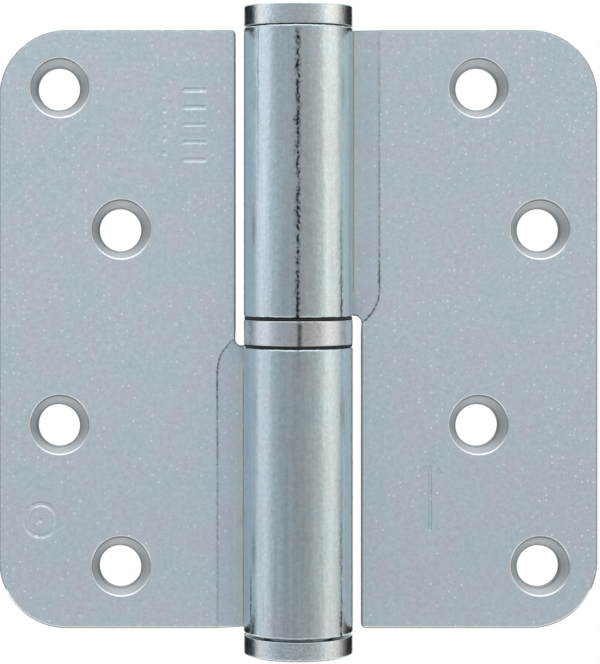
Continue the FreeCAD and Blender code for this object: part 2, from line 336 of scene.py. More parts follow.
@dataclass(frozen=True)
class PressedZincFinish:
    """Blue passivated zinc plate on pressed and rolled steel.

    The leaf is a satin metal: faint clouds of cyan and violet in its passivation, a fine
    mottle of zinc crystals and small bright specks of painted glint, and painted shade towards
    its bottom and right. The rolled barrel is burnished, dimpled and streaked, with ragged
    painted dark reflections down its front and sides. The cones of the screw holes are dull,
    with painted shade in them; the crank has painted reflections and shade by the barrel, and
    the barrel's ends and the leaf's edges have painted highlights and shade.
    """

    name: str = "blue_passivated_zinc_on_pressed_steel"
    leaf: str = "#E1EDF5"
    barrel: str = "#D9E6EA"
    films: tuple[str, ...] = ("#F5FBFC", "#F8FAFA", "#FBF6F9")
    # Painted reflections of the barrel on the crank: a cream line and a greenish band
    barrel_reflection_cream: str = "#FDF9E6"
    barrel_reflection_green: str = "#EEF6EC"
    # Painted shade and painted dark reflections: the dark streaks, the cones' upper lips and
    # the crank's edge at the barrel
    painted_shade: str = "#1B2023"
    # Painted highlights on edges, strokes and lips, and the rim's worn nicks
    worn: str = "#FBFDFD"
    # Painted shade on the sheared edge faces, the rim and the knuckle's ends
    sheared: str = "#6E777C"
    cone: str = "#BBC0C3"
    # Painted glint, brighter than white: a crystal that mirrors a lamp
    speck: Colour = (1.2, 1.32, 1.38, 1.0)
    roughness: float = 0.50
    burnished: float = 0.19
    cone_roughness: float = 0.7
    mark_roughness: float = 0.6
    cloud_mm: float = 5.0
    mottle_mm: float = 0.75
    grain_mm: float = 0.28
    speck_mm: float = 0.9
    streak_mm: float = 0.9

    def material(self) -> bpy.types.Material:
        """Builds the material.

        Returns:
            The zinc material, which reads Object coordinates and the leaf's attributes.
        """
        made, add = new_material(self.name)
        coords = add("TexCoord").outputs["Object"]
        spot = add("Mapping", {"Vector": coords, "Scale": IN_MM})
        read = {
            name: add("Attribute", attribute_name=name).outputs["Fac"]
            for name in LeafPressing.attributes
        }
        draft = Draft(add, spot, read)
        plain, clouds, grain = self.plating(draft)
        coned, rings = self.cones(draft, self.specks(draft, plain))
        bright = self.edge_glints_and_shade(draft, self.crank_reflection_and_shade(draft, coned))
        lines = self.paint_dark_streaks(draft)
        # Painted shade and painted dark reflections: the dark streaks are laid over the colour
        painted_shade = linear(self.painted_shade)
        coloured = add("Mix", {0: lines, 6: bright, 7: painted_shade}, data_type="RGBA")
        salt = add("MapRange", {0: read["crank"], 1: 0.1, 2: 0.5, 4: 0.5})
        matt = add("Math", (read["bore"], 0.75, salt), operation="MULTIPLY_ADD")
        surface = add(
            "BsdfPrincipled",
            {
                "Base Color": coloured,
                "Metallic": add("Math", (1.0, matt), operation="SUBTRACT"),
                "Roughness": self.rough(draft, clouds, lines),
                "Normal": self.relief(draft, grain, lines, rings),
            },
        )
        add("OutputMaterial", {"Surface": surface})
        return made

    def plating(self, draft: Draft) -> tuple[Feed, Feed, Feed]:
        """Colours the plate: film clouds, mottle and grain, streaks where rolled, and painted
        shade towards the flat leaf's bottom and right.

        Args:
            draft: The material so far.

        Returns:
            Colour, cloud level and grain level.
        """
        add, spot, read = draft
        rolled = read["rolled"]
        clouds = add(
            "TexNoise",
            {"Vector": spot, "Scale": 1 / self.cloud_mm, "Detail": 4.0, "Roughness": 0.65},
        )
        stops = [(p, linear(c)) for p, c in zip((0.38, 0.5, 0.62), self.films)]
        film = set_stops(add("ValToRGB", (clouds,)), stops)
        ends = {0: rolled, 6: linear(self.leaf), 7: linear(self.barrel)}
        metal = add("Mix", ends, data_type="RGBA")
        filmed = add("VectorMath", (metal, film), operation="MULTIPLY")
        long_spot = add("Mapping", {"Vector": spot, "Scale": (1.0, 1.0, 0.035)})
        grain = level = None
        for place, size, low, high, used in (
            (spot, self.grain_mm, 0.94, 1.06, None),
            (spot, self.mottle_mm, 0.93, 1.07, None),
            (long_spot, self.streak_mm, 0.90, 1.08, rolled),
        ):
            noise = add(
                "TexNoise",
                {"Vector": place, "Scale": 1 / size, "Detail": 3.0, "Roughness": 0.62},
            )
            grain = grain or noise
            part = add("MapRange", (noise, 0.28, 0.72, low, high))
            if used:
                part = add("Mix", {0: used, 2: 1.0, 3: part})
            level = add("Math", (level, part), operation="MULTIPLY") if level else part
        parts = add("SeparateXYZ", (spot,)).outputs
        # Painted shade: the flat leaf darker towards its bottom and towards its right
        for axis, start, end, least in (("Z", 5.0, -35.0, 0.93), ("X", -20.0, 25.0, 0.97)):
            shade = add("MapRange", (parts[axis], start, end, 1.0, least))
            even = add("Mix", {0: rolled, 2: shade, 3: 1.0})
            level = add("Math", (level, even), operation="MULTIPLY")
        shaded = add("VectorMath", {0: filmed, "Scale": level}, operation="SCALE")
        return shaded, clouds, grain

    def specks(self, draft: Draft, plain: Feed) -> Feed:
        """Scatters soft bright specks of painted glint, thick near the leaves' tops and outer
        edges.

        Args:
            draft: The material so far.
            plain: Colour of the plate.

        Returns:
            Colour with specks on the flat leaf.
        """
        add, spot, read = draft
        parts = add("SeparateXYZ", (spot,)).outputs
        cells = add(
            "TexVoronoi",
            {
                "Vector": add("CombineXYZ", (parts["X"], parts["Z"])),
                "Scale": 1 / self.speck_mm,
                "Randomness": 1.0,
            },
            voronoi_dimensions="2D",
        )
        draw = add("SeparateColor", (cells.outputs["Color"],)).outputs
        size = add("MapRange", {0: draw["Blue"], 3: 0.12, 4: 0.27})
        mask = add("MapRange", (cells.outputs["Distance"], 0.03, size, 1.0, 0.0))
        patch = add("TexNoise", {"Vector": spot, "Scale": 0.09, "Detail": 2.0})
        outward = add("Math", (parts["X"],), operation="ABSOLUTE")
        near_edge = add("MapRange", (outward, 38.0, 43.5, 0.30, 0.0))
        scarce = add("MapRange", (parts["Z"], -40.0, 44.0, 0.95, 0.60))
        limit = add("Math", (patch, -0.9, scarce), operation="MULTIPLY_ADD")
        for more in (near_edge, 0.13):
            limit = add("Math", (limit, more), operation="ADD")
        chosen = add("Math", (draw["Red"], limit), operation="GREATER_THAN")
        strength = add("MapRange", {0: draw["Green"], 3: 0.1, 4: 0.9})
        flat = add("Math", (1.0, read["rolled"]), operation="SUBTRACT")
        for factor in (chosen, strength, flat):
            mask = add("Math", (mask, factor), operation="MULTIPLY")
        return add("Mix", {0: mask, 6: plain, 7: self.speck}, data_type="RGBA")

    def cones(self, draft: Draft, plain: Feed) -> tuple[Feed, Feed]:
        """Makes the screw holes' cones dull and ringed by the tool, with painted shade deeper
        in the hole and at the cones' sides, and a painted shade line round their upper lips.

        Args:
            draft: The material so far.
            plain: Colour outside the holes.

        Returns:
            Colour, and height of the rings.
        """
        add, read = draft.add, draft.read
        bore, radius, up = read["bore"], read["bore_radius"], read["bore_up"]
        rings = add(
            "TexNoise", {"W": radius, "Scale": 5.0, "Detail": 2.0}, noise_dimensions="1D"
        )
        level = add("MapRange", (rings, 0.3, 0.7, 0.86, 1.12))
        # Painted shade: darker deeper in the hole and at the cone's left and right sides
        inner = add("MapRange", (radius, 3.2, 3.5, 0.62, 1.0))
        upright = add("Math", (up, 2.0), operation="POWER")
        side_shade = add("MapRange", {0: upright, 3: 0.76, 4: 1.25})
        for factor in (inner, side_shade):
            level = add("Math", (level, factor), operation="MULTIPLY")
        cone = {0: linear(self.cone)[:3], "Scale": level}
        colour = add("VectorMath", cone, operation="SCALE")
        dull = add("Mix", {0: bore, 6: plain, 7: colour}, data_type="RGBA")
        # Painted shade: a dark line round the upper half of each cone's lip
        at_lip = add("MapRange", {0: radius, 1: 4.0, 2: 4.7})
        stops = ((0.0, 0.0), (0.34, 0.0), (0.45, 1.0), (0.61, 1.0), (0.72, 0.0))
        line = set_stops(add("ValToRGB", (at_lip,)), stops)
        upper = add("MapRange", {0: up, 1: -0.6, 2: -0.2, 4: 0.92})
        upper_lip_shade = add("Math", (line, upper), operation="MULTIPLY")
        coned = add("Mix", {0: upper_lip_shade, 6: dull, 7: linear(self.painted_shade)}, data_type="RGBA")
        return coned, add("Math", (rings, bore), operation="MULTIPLY")

    def crank_reflection_and_shade(self, draft: Draft, plain: Feed) -> Feed:
        """Paints light and shade on the crank: painted shade beside the crease, painted
        reflections of the barrel as a greenish band and a cream line, and a painted shadow
        where it meets the barrel.

        Args:
            draft: The material so far.
            plain: Colour so far.

        Returns:
            Colour with the bloom.
        """
        add, spot, read = draft
        run = read["crank"]
        # Painted shade just past the crease, fading out towards the barrel
        stops = (
            (0.0, 1.0),
            (0.02, 0.93),
            (0.1, (0.96, 0.94, 0.97, 1.0)),
            (0.45, (0.99, 0.97, 0.99, 1.0)),
            (0.72, 1.0),
        )
        share = add("MapRange", {0: run, 2: LeafPressing.crank_reach})
        crease_shade = set_stops(add("ValToRGB", (share,)), stops)
        wander = add("TexNoise", {"Vector": spot, "Scale": 0.55, "Detail": 3.0})
        lit = add("VectorMath", (plain, crease_shade), operation="MULTIPLY")
        # Painted reflections of the barrel: a greenish band and a cream line near it; then a
        # painted shadow where the crank passes behind the barrel
        for middle, half_width, colour, most in (
            (2.75, 0.75, self.barrel_reflection_green, 0.5),
            (3.55, 0.5, self.barrel_reflection_cream, 1.3),
            (3.95, 0.14, self.painted_shade, 1.5),
        ):
            away = add("Math", (run, middle), operation="SUBTRACT")
            gap = add("Math", (away,), operation="ABSOLUTE")
            band = add("MapRange", (gap, 0.0, half_width, most, 0.0))
            mask = add("Math", (band, wander), operation="MULTIPLY", use_clamp=True)
            lit = add("Mix", {0: mask, 6: lit, 7: linear(colour)}, data_type="RGBA")
        return lit

    def edge_glints_and_shade(self, draft: Draft, plain: Feed) -> Feed:
        """Paints shade on the sheared edges and the rim, and painted highlights on stamped
        strokes, the foot's edge, the countersinks' lips and the barrel's ends, with the rim's
        nicks worn bare.

        Args:
            draft: The material so far.
            plain: Colour so far.

        Returns:
            Colour with the worn edges.
        """
        add, spot, read = draft
        # Painted shade on the sheared edge faces
        sheared = add("MapRange", {0: read["sheared"], 4: 0.8})
        # Painted highlights on the stamped strokes, the foot's rolled-over edge and the
        # countersinks' lips
        stamped = add("MapRange", {0: read["pressed"], 4: 0.85})
        # Painted shade along the rim and the knuckle's ends
        painted_edge_shade = add("MapRange", {0: read["worn"], 1: 0.3, 4: 0.6})
        # Painted highlights at the knuckle's ends, and nicks worn bare in the rim
        noise = add("TexNoise", {"Vector": spot, "Scale": 0.9, "Detail": 2.0})
        uneven = add("Math", (noise, 1.6, read["worn"]), operation="MULTIPLY_ADD")
        nicks_and_glints = add("MapRange", {0: uneven, 1: 1.62, 2: 1.95})
        for mask, colour in (
            (sheared, self.sheared),
            (stamped, self.worn),
            (painted_edge_shade, self.sheared),
            (nicks_and_glints, self.worn),
        ):
            plain = add("Mix", {0: mask, 6: plain, 7: linear(colour)}, data_type="RGBA")
        return plain

    def paint_dark_streaks(self, draft: Draft) -> Feed:
        """Draws ragged painted dark streaks: painted shade along the crank's crease and painted
        dark reflections down the barrel.

        Args:
            draft: The material so far.

        Returns:
            Mask of all the marks.
        """
        add, spot, read = draft
        height = add("SeparateXYZ", (spot,)).outputs["Z"]
        share = add("MapRange", {0: height, 1: -45.0, 2: 45.0})
        torn_spot = add("Mapping", {"Vector": spot, "Scale": (1.0, 1.0, 0.75)})
        ragged = add(
            "TexNoise",
            {"Vector": torn_spot, "Scale": 2.7, "Detail": 3.0, "Roughness": 0.6},
        )
        marks = 0.0
        for across, place, half_width, period, stops in DARK_STREAKS:
            along = add(
                "TexNoise",
                {"W": height, "Scale": 1 / period, "Detail": 2.0},
                noise_dimensions="1D",
            )
            present = set_stops(add("ValToRGB", (share,)), stops)
            offset = (along, 0.5 * half_width, read[across])
            offset = add("Math", offset, operation="MULTIPLY_ADD")
            away = add("Math", (offset, place + 0.25 * half_width), operation="SUBTRACT")
            near = add("Math", (away,), operation="ABSOLUTE")
            level = add("MapRange", (near, 0.0, half_width, 0.95, -0.75))
            for noise, weight in ((along, 0.9), (ragged, 2.6)):
                level = add("Math", (noise, weight, level), operation="MULTIPLY_ADD")
            cut = add("MapRange", {0: level, 1: 1.9, 2: 2.75, 4: 0.97})
            used = add("Math", (cut, present), operation="MULTIPLY")
            marks = add("Math", (marks, used), operation="MAXIMUM")
        return marks

    def rough(self, draft: Draft, clouds: Feed, lines: Feed) -> Feed:
        """Roughness: satin leaf, burnished barrel and pressed forms, dull cones and marks.

        Args:
            draft: The material so far.
            clouds: Cloud level.
            lines: Mask of dark marks.

        Returns:
            Roughness.
        """
        add, _, read = draft
        low, high = self.roughness - 0.03, self.roughness + 0.03
        satin = add("MapRange", (clouds, 0.3, 0.7, low, high))
        smoother = add("Math", (read["rolled"], read["pressed"]), operation="MAXIMUM")
        level = add("Mix", {0: smoother, 2: satin, 3: self.burnished})
        for mask, value in ((read["bore"], self.cone_roughness), (lines, self.mark_roughness)):
            level = add("Mix", {0: mask, 2: level, 3: value})
        return level

    def relief(self, draft: Draft, grain: Feed, lines: Feed, rings: Feed) -> Feed:
        """Fine relief: grain, the barrel's ripple and dimples, sunk marks and tool rings.

        Args:
            draft: The material so far.
            grain: Grain level.
            lines: Mask of dark marks.
            rings: Height of the rings in the cones.

        Returns:
            Normal.
        """
        add, spot, read = draft
        long_spot = add("Mapping", {"Vector": spot, "Scale": (1.0, 1.0, 0.45)})
        layers = []
        for place, scale, depth in ((long_spot, 0.85, 0.026), (spot, 1.7, 0.03)):
            noise = add(
                "TexNoise",
                {"Vector": place, "Scale": scale, "Detail": 3.0, "Roughness": 0.55},
            )
            layers.append((add("Math", (noise, read["rolled"]), operation="MULTIPLY"), depth))
        height = 0.0
        for level, depth in (*layers, (grain, 0.0055), (lines, -0.03), (rings, 0.02)):
            height = add("Math", (level, depth, height), operation="MULTIPLY_ADD")
        return add("Bump", {"Height": height, "Distance": MM, "Strength": 1.0})


@dataclass(frozen=True)
class TurnedMetalFinish:
    """Metal turned on a lathe: fine lines round the axis, with specks and stains.

    Each painted reflection, a dark or bright band down the front, has its x, half width, colour
    and strength.
    """

    name: str
    base: str
    stain: str
    roughness: float
    line_mm: float = 0.12
    line_depth_mm: float = 0.004
    grain_mm: float = 0.3
    grain_depth_mm: float = 0.006
    stain_from: float = 0.55
    metallic: float = 1.0
    painted_reflections: tuple[tuple[float, float, str, float], ...] = ()

    def paint_reflections(self, add: Adder, spot: Feed, plain: Feed) -> Feed:
        """Paints reflections down the piece's front, as dark and bright bands at fixed x.

        Args:
            add: Adds a node to the material.
            spot: Place in millimetres.
            plain: Colour so far.

        Returns:
            Colour with the painted reflections.
        """
        parts = add("SeparateXYZ", (spot,)).outputs
        front = add("Math", (parts["Y"], 0.0), operation="LESS_THAN")
        noise = add("TexNoise", {"Vector": spot, "Scale": 1.3, "Detail": 3.0})
        for place, half_width, colour, most in self.painted_reflections:
            away = add("Math", (parts["X"], place), operation="SUBTRACT")
            near = add("Math", (away,), operation="ABSOLUTE")
            mask = add("MapRange", (near, 0.2 * half_width, half_width, 1.0, 0.0))
            patchy = add("MapRange", (noise, 0.35, 0.6, 0.35 * most, most))
            for factor in (patchy, front):
                mask = add("Math", (mask, factor), operation="MULTIPLY")
            plain = add("Mix", {0: mask, 6: plain, 7: linear(colour)}, data_type="RGBA")
        return plain

    def material(self) -> bpy.types.Material:
        """Builds the material.

        Returns:
            The turned metal, which reads Object coordinates.
        """
        made, add = new_material(self.name)
        coords = add("TexCoord").outputs["Object"]
        spot = add("Mapping", {"Vector": coords, "Scale": IN_MM})
        turned_spot = add("Mapping", {"Vector": coords, "Scale": (60, 60, 1000)})
        lines, grain = (
            add("TexNoise", {"Vector": place, "Scale": 1 / size, "Detail": 2.0})
            for place, size in ((turned_spot, self.line_mm), (spot, self.grain_mm))
        )
        stains = add(
            "TexNoise", {"Vector": spot, "Scale": 0.35, "Detail": 4.0, "Roughness": 0.7}
        )
        stained = add("MapRange", (stains, self.stain_from, 0.75, 0.0, 0.7))
        level = add("MapRange", (grain, 0.25, 0.75, 0.88, 1.10))
        base = {0: linear(self.base)[:3], "Scale": level}
        shaded = add("VectorMath", base, operation="SCALE")
        ends = {0: stained, 6: shaded, 7: linear(self.stain)}
        colour = add("Mix", ends, data_type="RGBA")
        low, high = self.roughness - 0.03, self.roughness + 0.12
        turned = add("Math", (lines, self.line_depth_mm), operation="MULTIPLY")
        height = (grain, self.grain_depth_mm, turned)
        height = add("Math", height, operation="MULTIPLY_ADD")
        surface = add(
            "BsdfPrincipled",
            {
                "Base Color": self.paint_reflections(add, spot, colour),
                "Metallic": self.metallic,
                "Roughness": add("MapRange", (stains, 0.3, 0.75, low, high)),
                "Normal": add("Bump", {"Height": height, "Distance": MM, "Strength": 1.0}),
            },
        )
        add("OutputMaterial", {"Surface": surface})
        return made


# Zinc plated buttons: smoother than the pressed sheet, with a coarse grain of pits, and cream
# painted highlights down their front at both sides
CAP_FINISH = TurnedMetalFinish(
    "blue_passivated_zinc_on_turned_steel",
    base="#DBE6EB",
    stain="#A9B0B4",
    roughness=0.15,
    grain_mm=0.34,
    grain_depth_mm=0.028,
    line_depth_mm=0.001,
    stain_from=0.6,
    painted_reflections=((-5.6, 0.9, "#F3EFD4", 0.5), (5.3, 0.9, "#F3EFDC", 0.35)),
)
# Zinc plated ring: finely turned, a little greyer than the buttons, with painted reflections:
# dark bands down its front middle and sides, and a bright band left of the middle
RING_FINISH = TurnedMetalFinish(
    "zinc_on_finely_turned_steel",
    base="#DDE2E5",
    stain="#A9AFB2",
    roughness=0.18,
    line_depth_mm=0.002,
    grain_depth_mm=0.005,
    stain_from=0.62,
    painted_reflections=(
        (0.2, 0.55, "#3C4244", 0.8),
        (-7.0, 0.8, "#8A836C", 0.55),
        (-4.2, 1.2, "#EAF2F2", 0.4),
        (6.6, 0.7, "#7F8988", 0.5),
    ),
)
# Ground pin with a film of grease: a grey, slightly darker steel
PIN_FINISH = TurnedMetalFinish("greased_ground_steel", "#9A9C9E", "#6D675C", roughness=0.26)
# Races: near black, as painted shade for the gaps beside the ring, so that these read as black
# lines
RACE_FINISH = TurnedMetalFinish(
    "blackened_greased_steel", "#0D0D0E", "#050505", roughness=0.5, metallic=0.0
)
# Hardened balls: darker and glossier, with black grease in patches
BEARING_FINISH = TurnedMetalFinish(
    "greased_bearing_steel",
    base="#8A8D90",
    stain="#2B2722",
    roughness=0.16,
    grain_depth_mm=0.001,
    line_depth_mm=0.001,
    stain_from=0.45,
)
# Moulded nylon: an off-white plastic, dulled and yellowed by grease
CAGE_FINISH = TurnedMetalFinish(
    "greased_moulded_nylon", "#D9D3C2", "#8C8068", roughness=0.42, metallic=0.0
)


# The two leaves


@dataclass(frozen=True)
class Groove:
    """Round-bottomed stamped stroke between two (x, z) points of a leaf."""

    start: tuple[float, float]
    end: tuple[float, float]
    radius: float
    depth: float

    @property
    def half_width(self) -> float:
        """Half of the stroke's width at the sheet's surface."""
        return math.sqrt(self.radius**2 - (self.radius - self.depth) ** 2)

    def laid(self, turn: int) -> "Groove":
        """The stroke as it lies on a leaf that is turned by half a turn, or isn't."""
        start, end = ((turn * x, turn * z) for x, z in (self.start, self.end))
        return Groove(start, end, self.radius, self.depth)

    def refining_points(self) -> np.ndarray:
        """Places sheet points along and beside the stroke.

        Returns:
            Points in (s, z), on lines parallel to the stroke and round its ends.
        """
        a, b = np.array(self.start), np.array(self.end)
        length = float(np.hypot(*(b - a)))
        along = (b - a) / length if length > 1e-6 else np.array([1.0, 0.0])
        side = np.array([-along[1], along[0]])
        stations = np.linspace(0, length, max(2, int(length / 0.2) + 1))
        points = [a + np.outer(stations, along)]
        for offset in self.half_width * np.array([0.25, 0.5, 0.72, 0.9, 1.0, 1.12, 1.4, 1.9]):
            for sign in (1, -1):
                points.append(a + np.outer(stations, along) + sign * offset * side)
            turns = np.linspace(0, math.pi, max(5, int(offset * math.pi / 0.13)) + 1)[1:-1]
            out = np.outer(np.sin(turns), along) + np.outer(np.cos(turns), side)
            points += [b + offset * out, a - offset * out]
        return np.concatenate(points)


@dataclass
class LeafPressing:
    """One leaf: flat plate, crank and rolled knuckle out of a single sheet of steel.

    A point of the sheet has three numbers: s along the sheet from the pin's axis
    outwards, z along the pin, and a depth from the front face. Where s is less than
    that of touch_front the sheet is rolled round the pin.
    """

    # What the zinc reads at each vertex: rolled is one on the barrel, bore one in a cone,
    # and arc, crease, crank and bore_radius are distances. Bore_up is one where a hole's
    # wall faces down and minus one where it faces up. The second and the last two are shares:
    # the second marks the knuckle's ends and the rim for painted highlights and shade and worn
    # nicks, the next to last the sheared edge faces for painted shade, and the last the stamped
    # strokes, the foot's edge and the countersinks' lips for painted highlights.
    attributes: ClassVar[tuple[str, ...]] = (
        "rolled", "worn", "crease", "crank", "arc",
        "bore", "bore_radius", "bore_up", "sheared", "pressed",
    )
    crank_reach: ClassVar[float] = 4.5

    name: str
    side: Side
    half_width: float = 44.5
    half_height: float = 44.5
    thickness: float = 3.0
    front_face: float = 1.5
    corner_radius: float = 10.0
    inner_corner_radius: float = 0.6
    end_corner_radius: float = 0.3
    bore_radius: float = 5.08
    seam_gap: float = 0.45
    bearing_half: float = 2.23
    bearing_drop: float = 0.27
    knuckle_end: float = 44.69
    # Where the leaf's end ramps up to the knuckle's end, along s
    ramp: tuple[float, float] = (1.2, 2.6)
    slot_edge: float = 9.36
    slot_root_radius: float = 1.0
    crease_x: float = 12.08
    crank_arc_radius: float = 6.0
    crank_run_out: float = 1.1
    hole_radius: float = 3.15
    cone_radius: float = 4.475
    lip_radius: float = 0.38
    cone_offset: tuple[float, float] = (0.27, 0.18)
    burr: float = 0.15
    hole_columns: tuple[float, float] = (26.6, 35.75)
    hole_rows: tuple[float, float] = (35.6, 14.55)
    hole_rise: float = 0.15
    # Distances between mesh points on the plate, on the roll, round an outer corner and
    # beside an edge
    plate_step: float = 1.0
    roll_step: float = 0.3
    corner_step: float = 0.45
    edge_step: float = 0.15
    hole_segments: int = 72

    def __post_init__(self) -> None:
        """Works out the bend's angles and the holes' places from the sizes."""
        turn = self.side.value
        self.knuckle_face = self.bearing_half - turn * self.bearing_drop
        self.outer_radius = self.bore_radius + self.thickness
        reach = math.hypot(self.crease_x, self.front_face)
        self.touch_angle = math.atan2(self.front_face, self.crease_x) + math.acos(
            self.bore_radius / reach
        )
        way = np.array([math.cos(self.touch_angle), math.sin(self.touch_angle)])
        self.touch_front = self.bore_radius * way
        self.touch_back = self.touch_front * self.outer_radius / self.bore_radius
        self.back_shift = self.thickness * math.tan((math.pi / 2 - self.touch_angle) / 2)
        gap_angle = math.acos((self.bore_radius - self.seam_gap) / self.outer_radius)
        sweep = 2 * math.pi - gap_angle
        self.roll_end = float(self.touch_front[0]) - sweep * self.outer_radius
        self.arc_x = self.crease_x - self.crank_arc_radius
        self.arc_sweep = math.acos((self.slot_edge - self.arc_x) / self.crank_arc_radius)
        arc_rise = self.crank_arc_radius * math.sin(self.arc_sweep)
        self.arc_z = self.knuckle_face - self.crank_run_out + arc_rise
        x_in, x_out = self.hole_columns
        high, low = self.hole_rows
        self.cone_shift = turn * np.array(self.cone_offset)
        spots = [(x_in, high), (x_out, low), (x_in, -low), (x_out, -high)]
        self.holes = [(x, z + turn * self.hole_rise) for x, z in spots]

    def crease_at(self, z: np.ndarray) -> np.ndarray:
        """Where the crank's crease lies at each height."""
        drop = np.clip(self.arc_z - z, 0, self.crank_arc_radius)
        return self.arc_x + np.sqrt(self.crank_arc_radius**2 - drop**2)

    def crease_distance(self, s: np.ndarray, z: np.ndarray) -> np.ndarray:
        """Distance from the crease, positive on the plate's side."""
        round_it = np.hypot(s - self.arc_x, z - self.arc_z) - self.crank_arc_radius
        return np.where(z >= self.arc_z, s - self.crease_x, round_it)

    def roll_angle(self, s: np.ndarray) -> np.ndarray:
        """Angle round the pin of a point on the rolled part."""
        return self.touch_angle + (self.touch_front[0] - s) / self.outer_radius

    def place(self, s: np.ndarray, z: np.ndarray, depth: np.ndarray) -> np.ndarray:
        """Bends points of the flat sheet to where they lie in the hinge.

        Args:
            s: Run along the sheet.
            z: Height.
            depth: Depth below the front face.

        Returns:
            Points in millimetres, as the door leaf.
        """
        share = depth / self.thickness
        crease = self.crease_at(z)
        (tx, ty), (bx, by) = self.touch_front, self.touch_back
        u = np.clip((crease - s) / (crease - tx), 0, 1)
        back_face = self.front_face + self.thickness
        fade = np.clip(1 - (s - crease) / 2.5, 0, 1)
        front_y = self.front_face + (ty - self.front_face) * u
        cranked_x = (crease + self.back_shift) * (1 - u) + bx * u
        back_x = np.where(s < crease, cranked_x, s + self.back_shift * fade)
        back_y = back_face + (by - back_face) * u
        turn = self.roll_angle(s)
        radius = self.bore_radius + depth
        x = np.where(s < tx, radius * np.cos(turn), s + (back_x - s) * share)
        y = np.where(s < tx, radius * np.sin(turn), front_y + (back_y - front_y) * share)
        return np.stack([x, y, z], axis=1)

    def outline(self) -> np.ndarray:
        """Outline of the flat sheet.

        Returns:
            Counter-clockwise loop of (s, z) points.
        """
        corners = [
            (self.roll_end, self.knuckle_face, self.end_corner_radius),
            (self.slot_edge, self.knuckle_face, self.slot_root_radius),
            (self.slot_edge, -self.half_height, self.inner_corner_radius),
            (self.half_width, -self.half_height, self.corner_radius),
            (self.half_width, self.half_height, self.corner_radius),
            (self.ramp[1], self.half_height, 0.0),
            (self.ramp[0], self.knuckle_end, 0.0),
            (self.roll_end, self.knuckle_end, self.end_corner_radius),
        ]
        stretches = []
        for number, (x, z, radius) in enumerate(corners):
            here = np.array([x, z])
            last = np.array(corners[number - 1][:2])
            following = np.array(corners[(number + 1) % len(corners)][:2])
            to_last = (last - here) / np.hypot(*(last - here))
            to_next = (following - here) / np.hypot(*(following - here))
            if radius == 0:
                stretches.append(np.array([here]))
                continue
            half = math.acos(float(np.clip(to_last @ to_next, -1, 1))) / 2
            reach = radius / math.tan(half)
            inner = (to_last + to_next) / np.hypot(*(to_last + to_next))
            middle = here + inner * (radius / math.sin(half))
            start, end = here + to_last * reach, here + to_next * reach
            a, b = (math.atan2(*(point - middle)[::-1]) for point in (start, end))
            swing = (b - a + math.pi) % (2 * math.pi) - math.pi
            count = max(5, int(abs(swing) * radius / self.corner_step) + 1)
            turns = a + np.linspace(0, swing, count)
            ring = np.stack([np.cos(turns), np.sin(turns)], axis=1)
            stretches.append(middle + radius * ring)
        loop = []
        for number, stretch in enumerate(stretches):
            loop.extend(stretch)
            following = stretches[(number + 1) % len(stretches)][0]
            run = following - stretch[-1]
            rolled = min(stretch[-1][0], following[0]) < self.touch_front[0]
            step = self.roll_step if rolled and abs(run[1]) < 1e-6 else self.plate_step
            count = max(1, int(float(np.hypot(*run)) / step))
            loop += [stretch[-1] + run * part / count for part in range(1, count)]
        return np.array(loop)

    @staticmethod
    def inward(loop: np.ndarray) -> np.ndarray:
        """Mitred inward direction at each point of a counter-clockwise loop."""
        ahead = np.roll(loop, -1, axis=0) - loop
        ahead /= np.linalg.norm(ahead, axis=1)[:, None]
        behind = np.roll(ahead, 1, axis=0)
        n1, n2 = (np.stack([-way[:, 1], way[:, 0]], axis=1) for way in (behind, ahead))
        return (n1 + n2) / (1 + (n1 * n2).sum(axis=1))[:, None]

    def edge_rings(self, loop: np.ndarray) -> list[tuple[np.ndarray, np.ndarray]]:
        """Rings round the sheared edge, from the front face to the back face.

        The front edge is rolled over, the shear's lower half is set back by a chip, and
        the back edge is more rounded and ragged on the barrel than on the plate.

        Args:
            loop: The sheet's outline.

        Returns:
            (s, z) points and depths of each ring.
        """
        s, z = loop.T
        flat = np.clip((s + 1.0) / 3.5, 0, 1)
        ragged = sum(np.sin(s * rate + z * 1.7 + rate) / 3 for rate in (1.3, 3.1, 5.9))
        front = 0.10 + 0.15 * flat
        back = 0.24 + 0.07 * ragged * (1 - flat) - 0.14 * flat
        chip = 0.035 * flat
        zero = 0 * flat
        full = zero + self.thickness
        rings = [(front + self.edge_step, zero)]
        for turn in map(math.radians, (0.0, 22.5, 45.0, 67.5, 90.0)):
            rings.append((front * (1 - math.sin(turn)), front * (1 - math.cos(turn))))
        rings += [
            (zero, zero + 1.1),
            (zero, zero + 1.75),
            (chip, zero + 1.95),
            (chip, full - back - 0.05),
            (chip, full - back),
            (chip + back * 0.45, full - back * 0.45),
            (chip + back, full),
            (chip + back + self.edge_step, full),
        ]
        into = self.inward(loop)
        return [(loop + into * inset[:, None], depth) for inset, depth in rings]

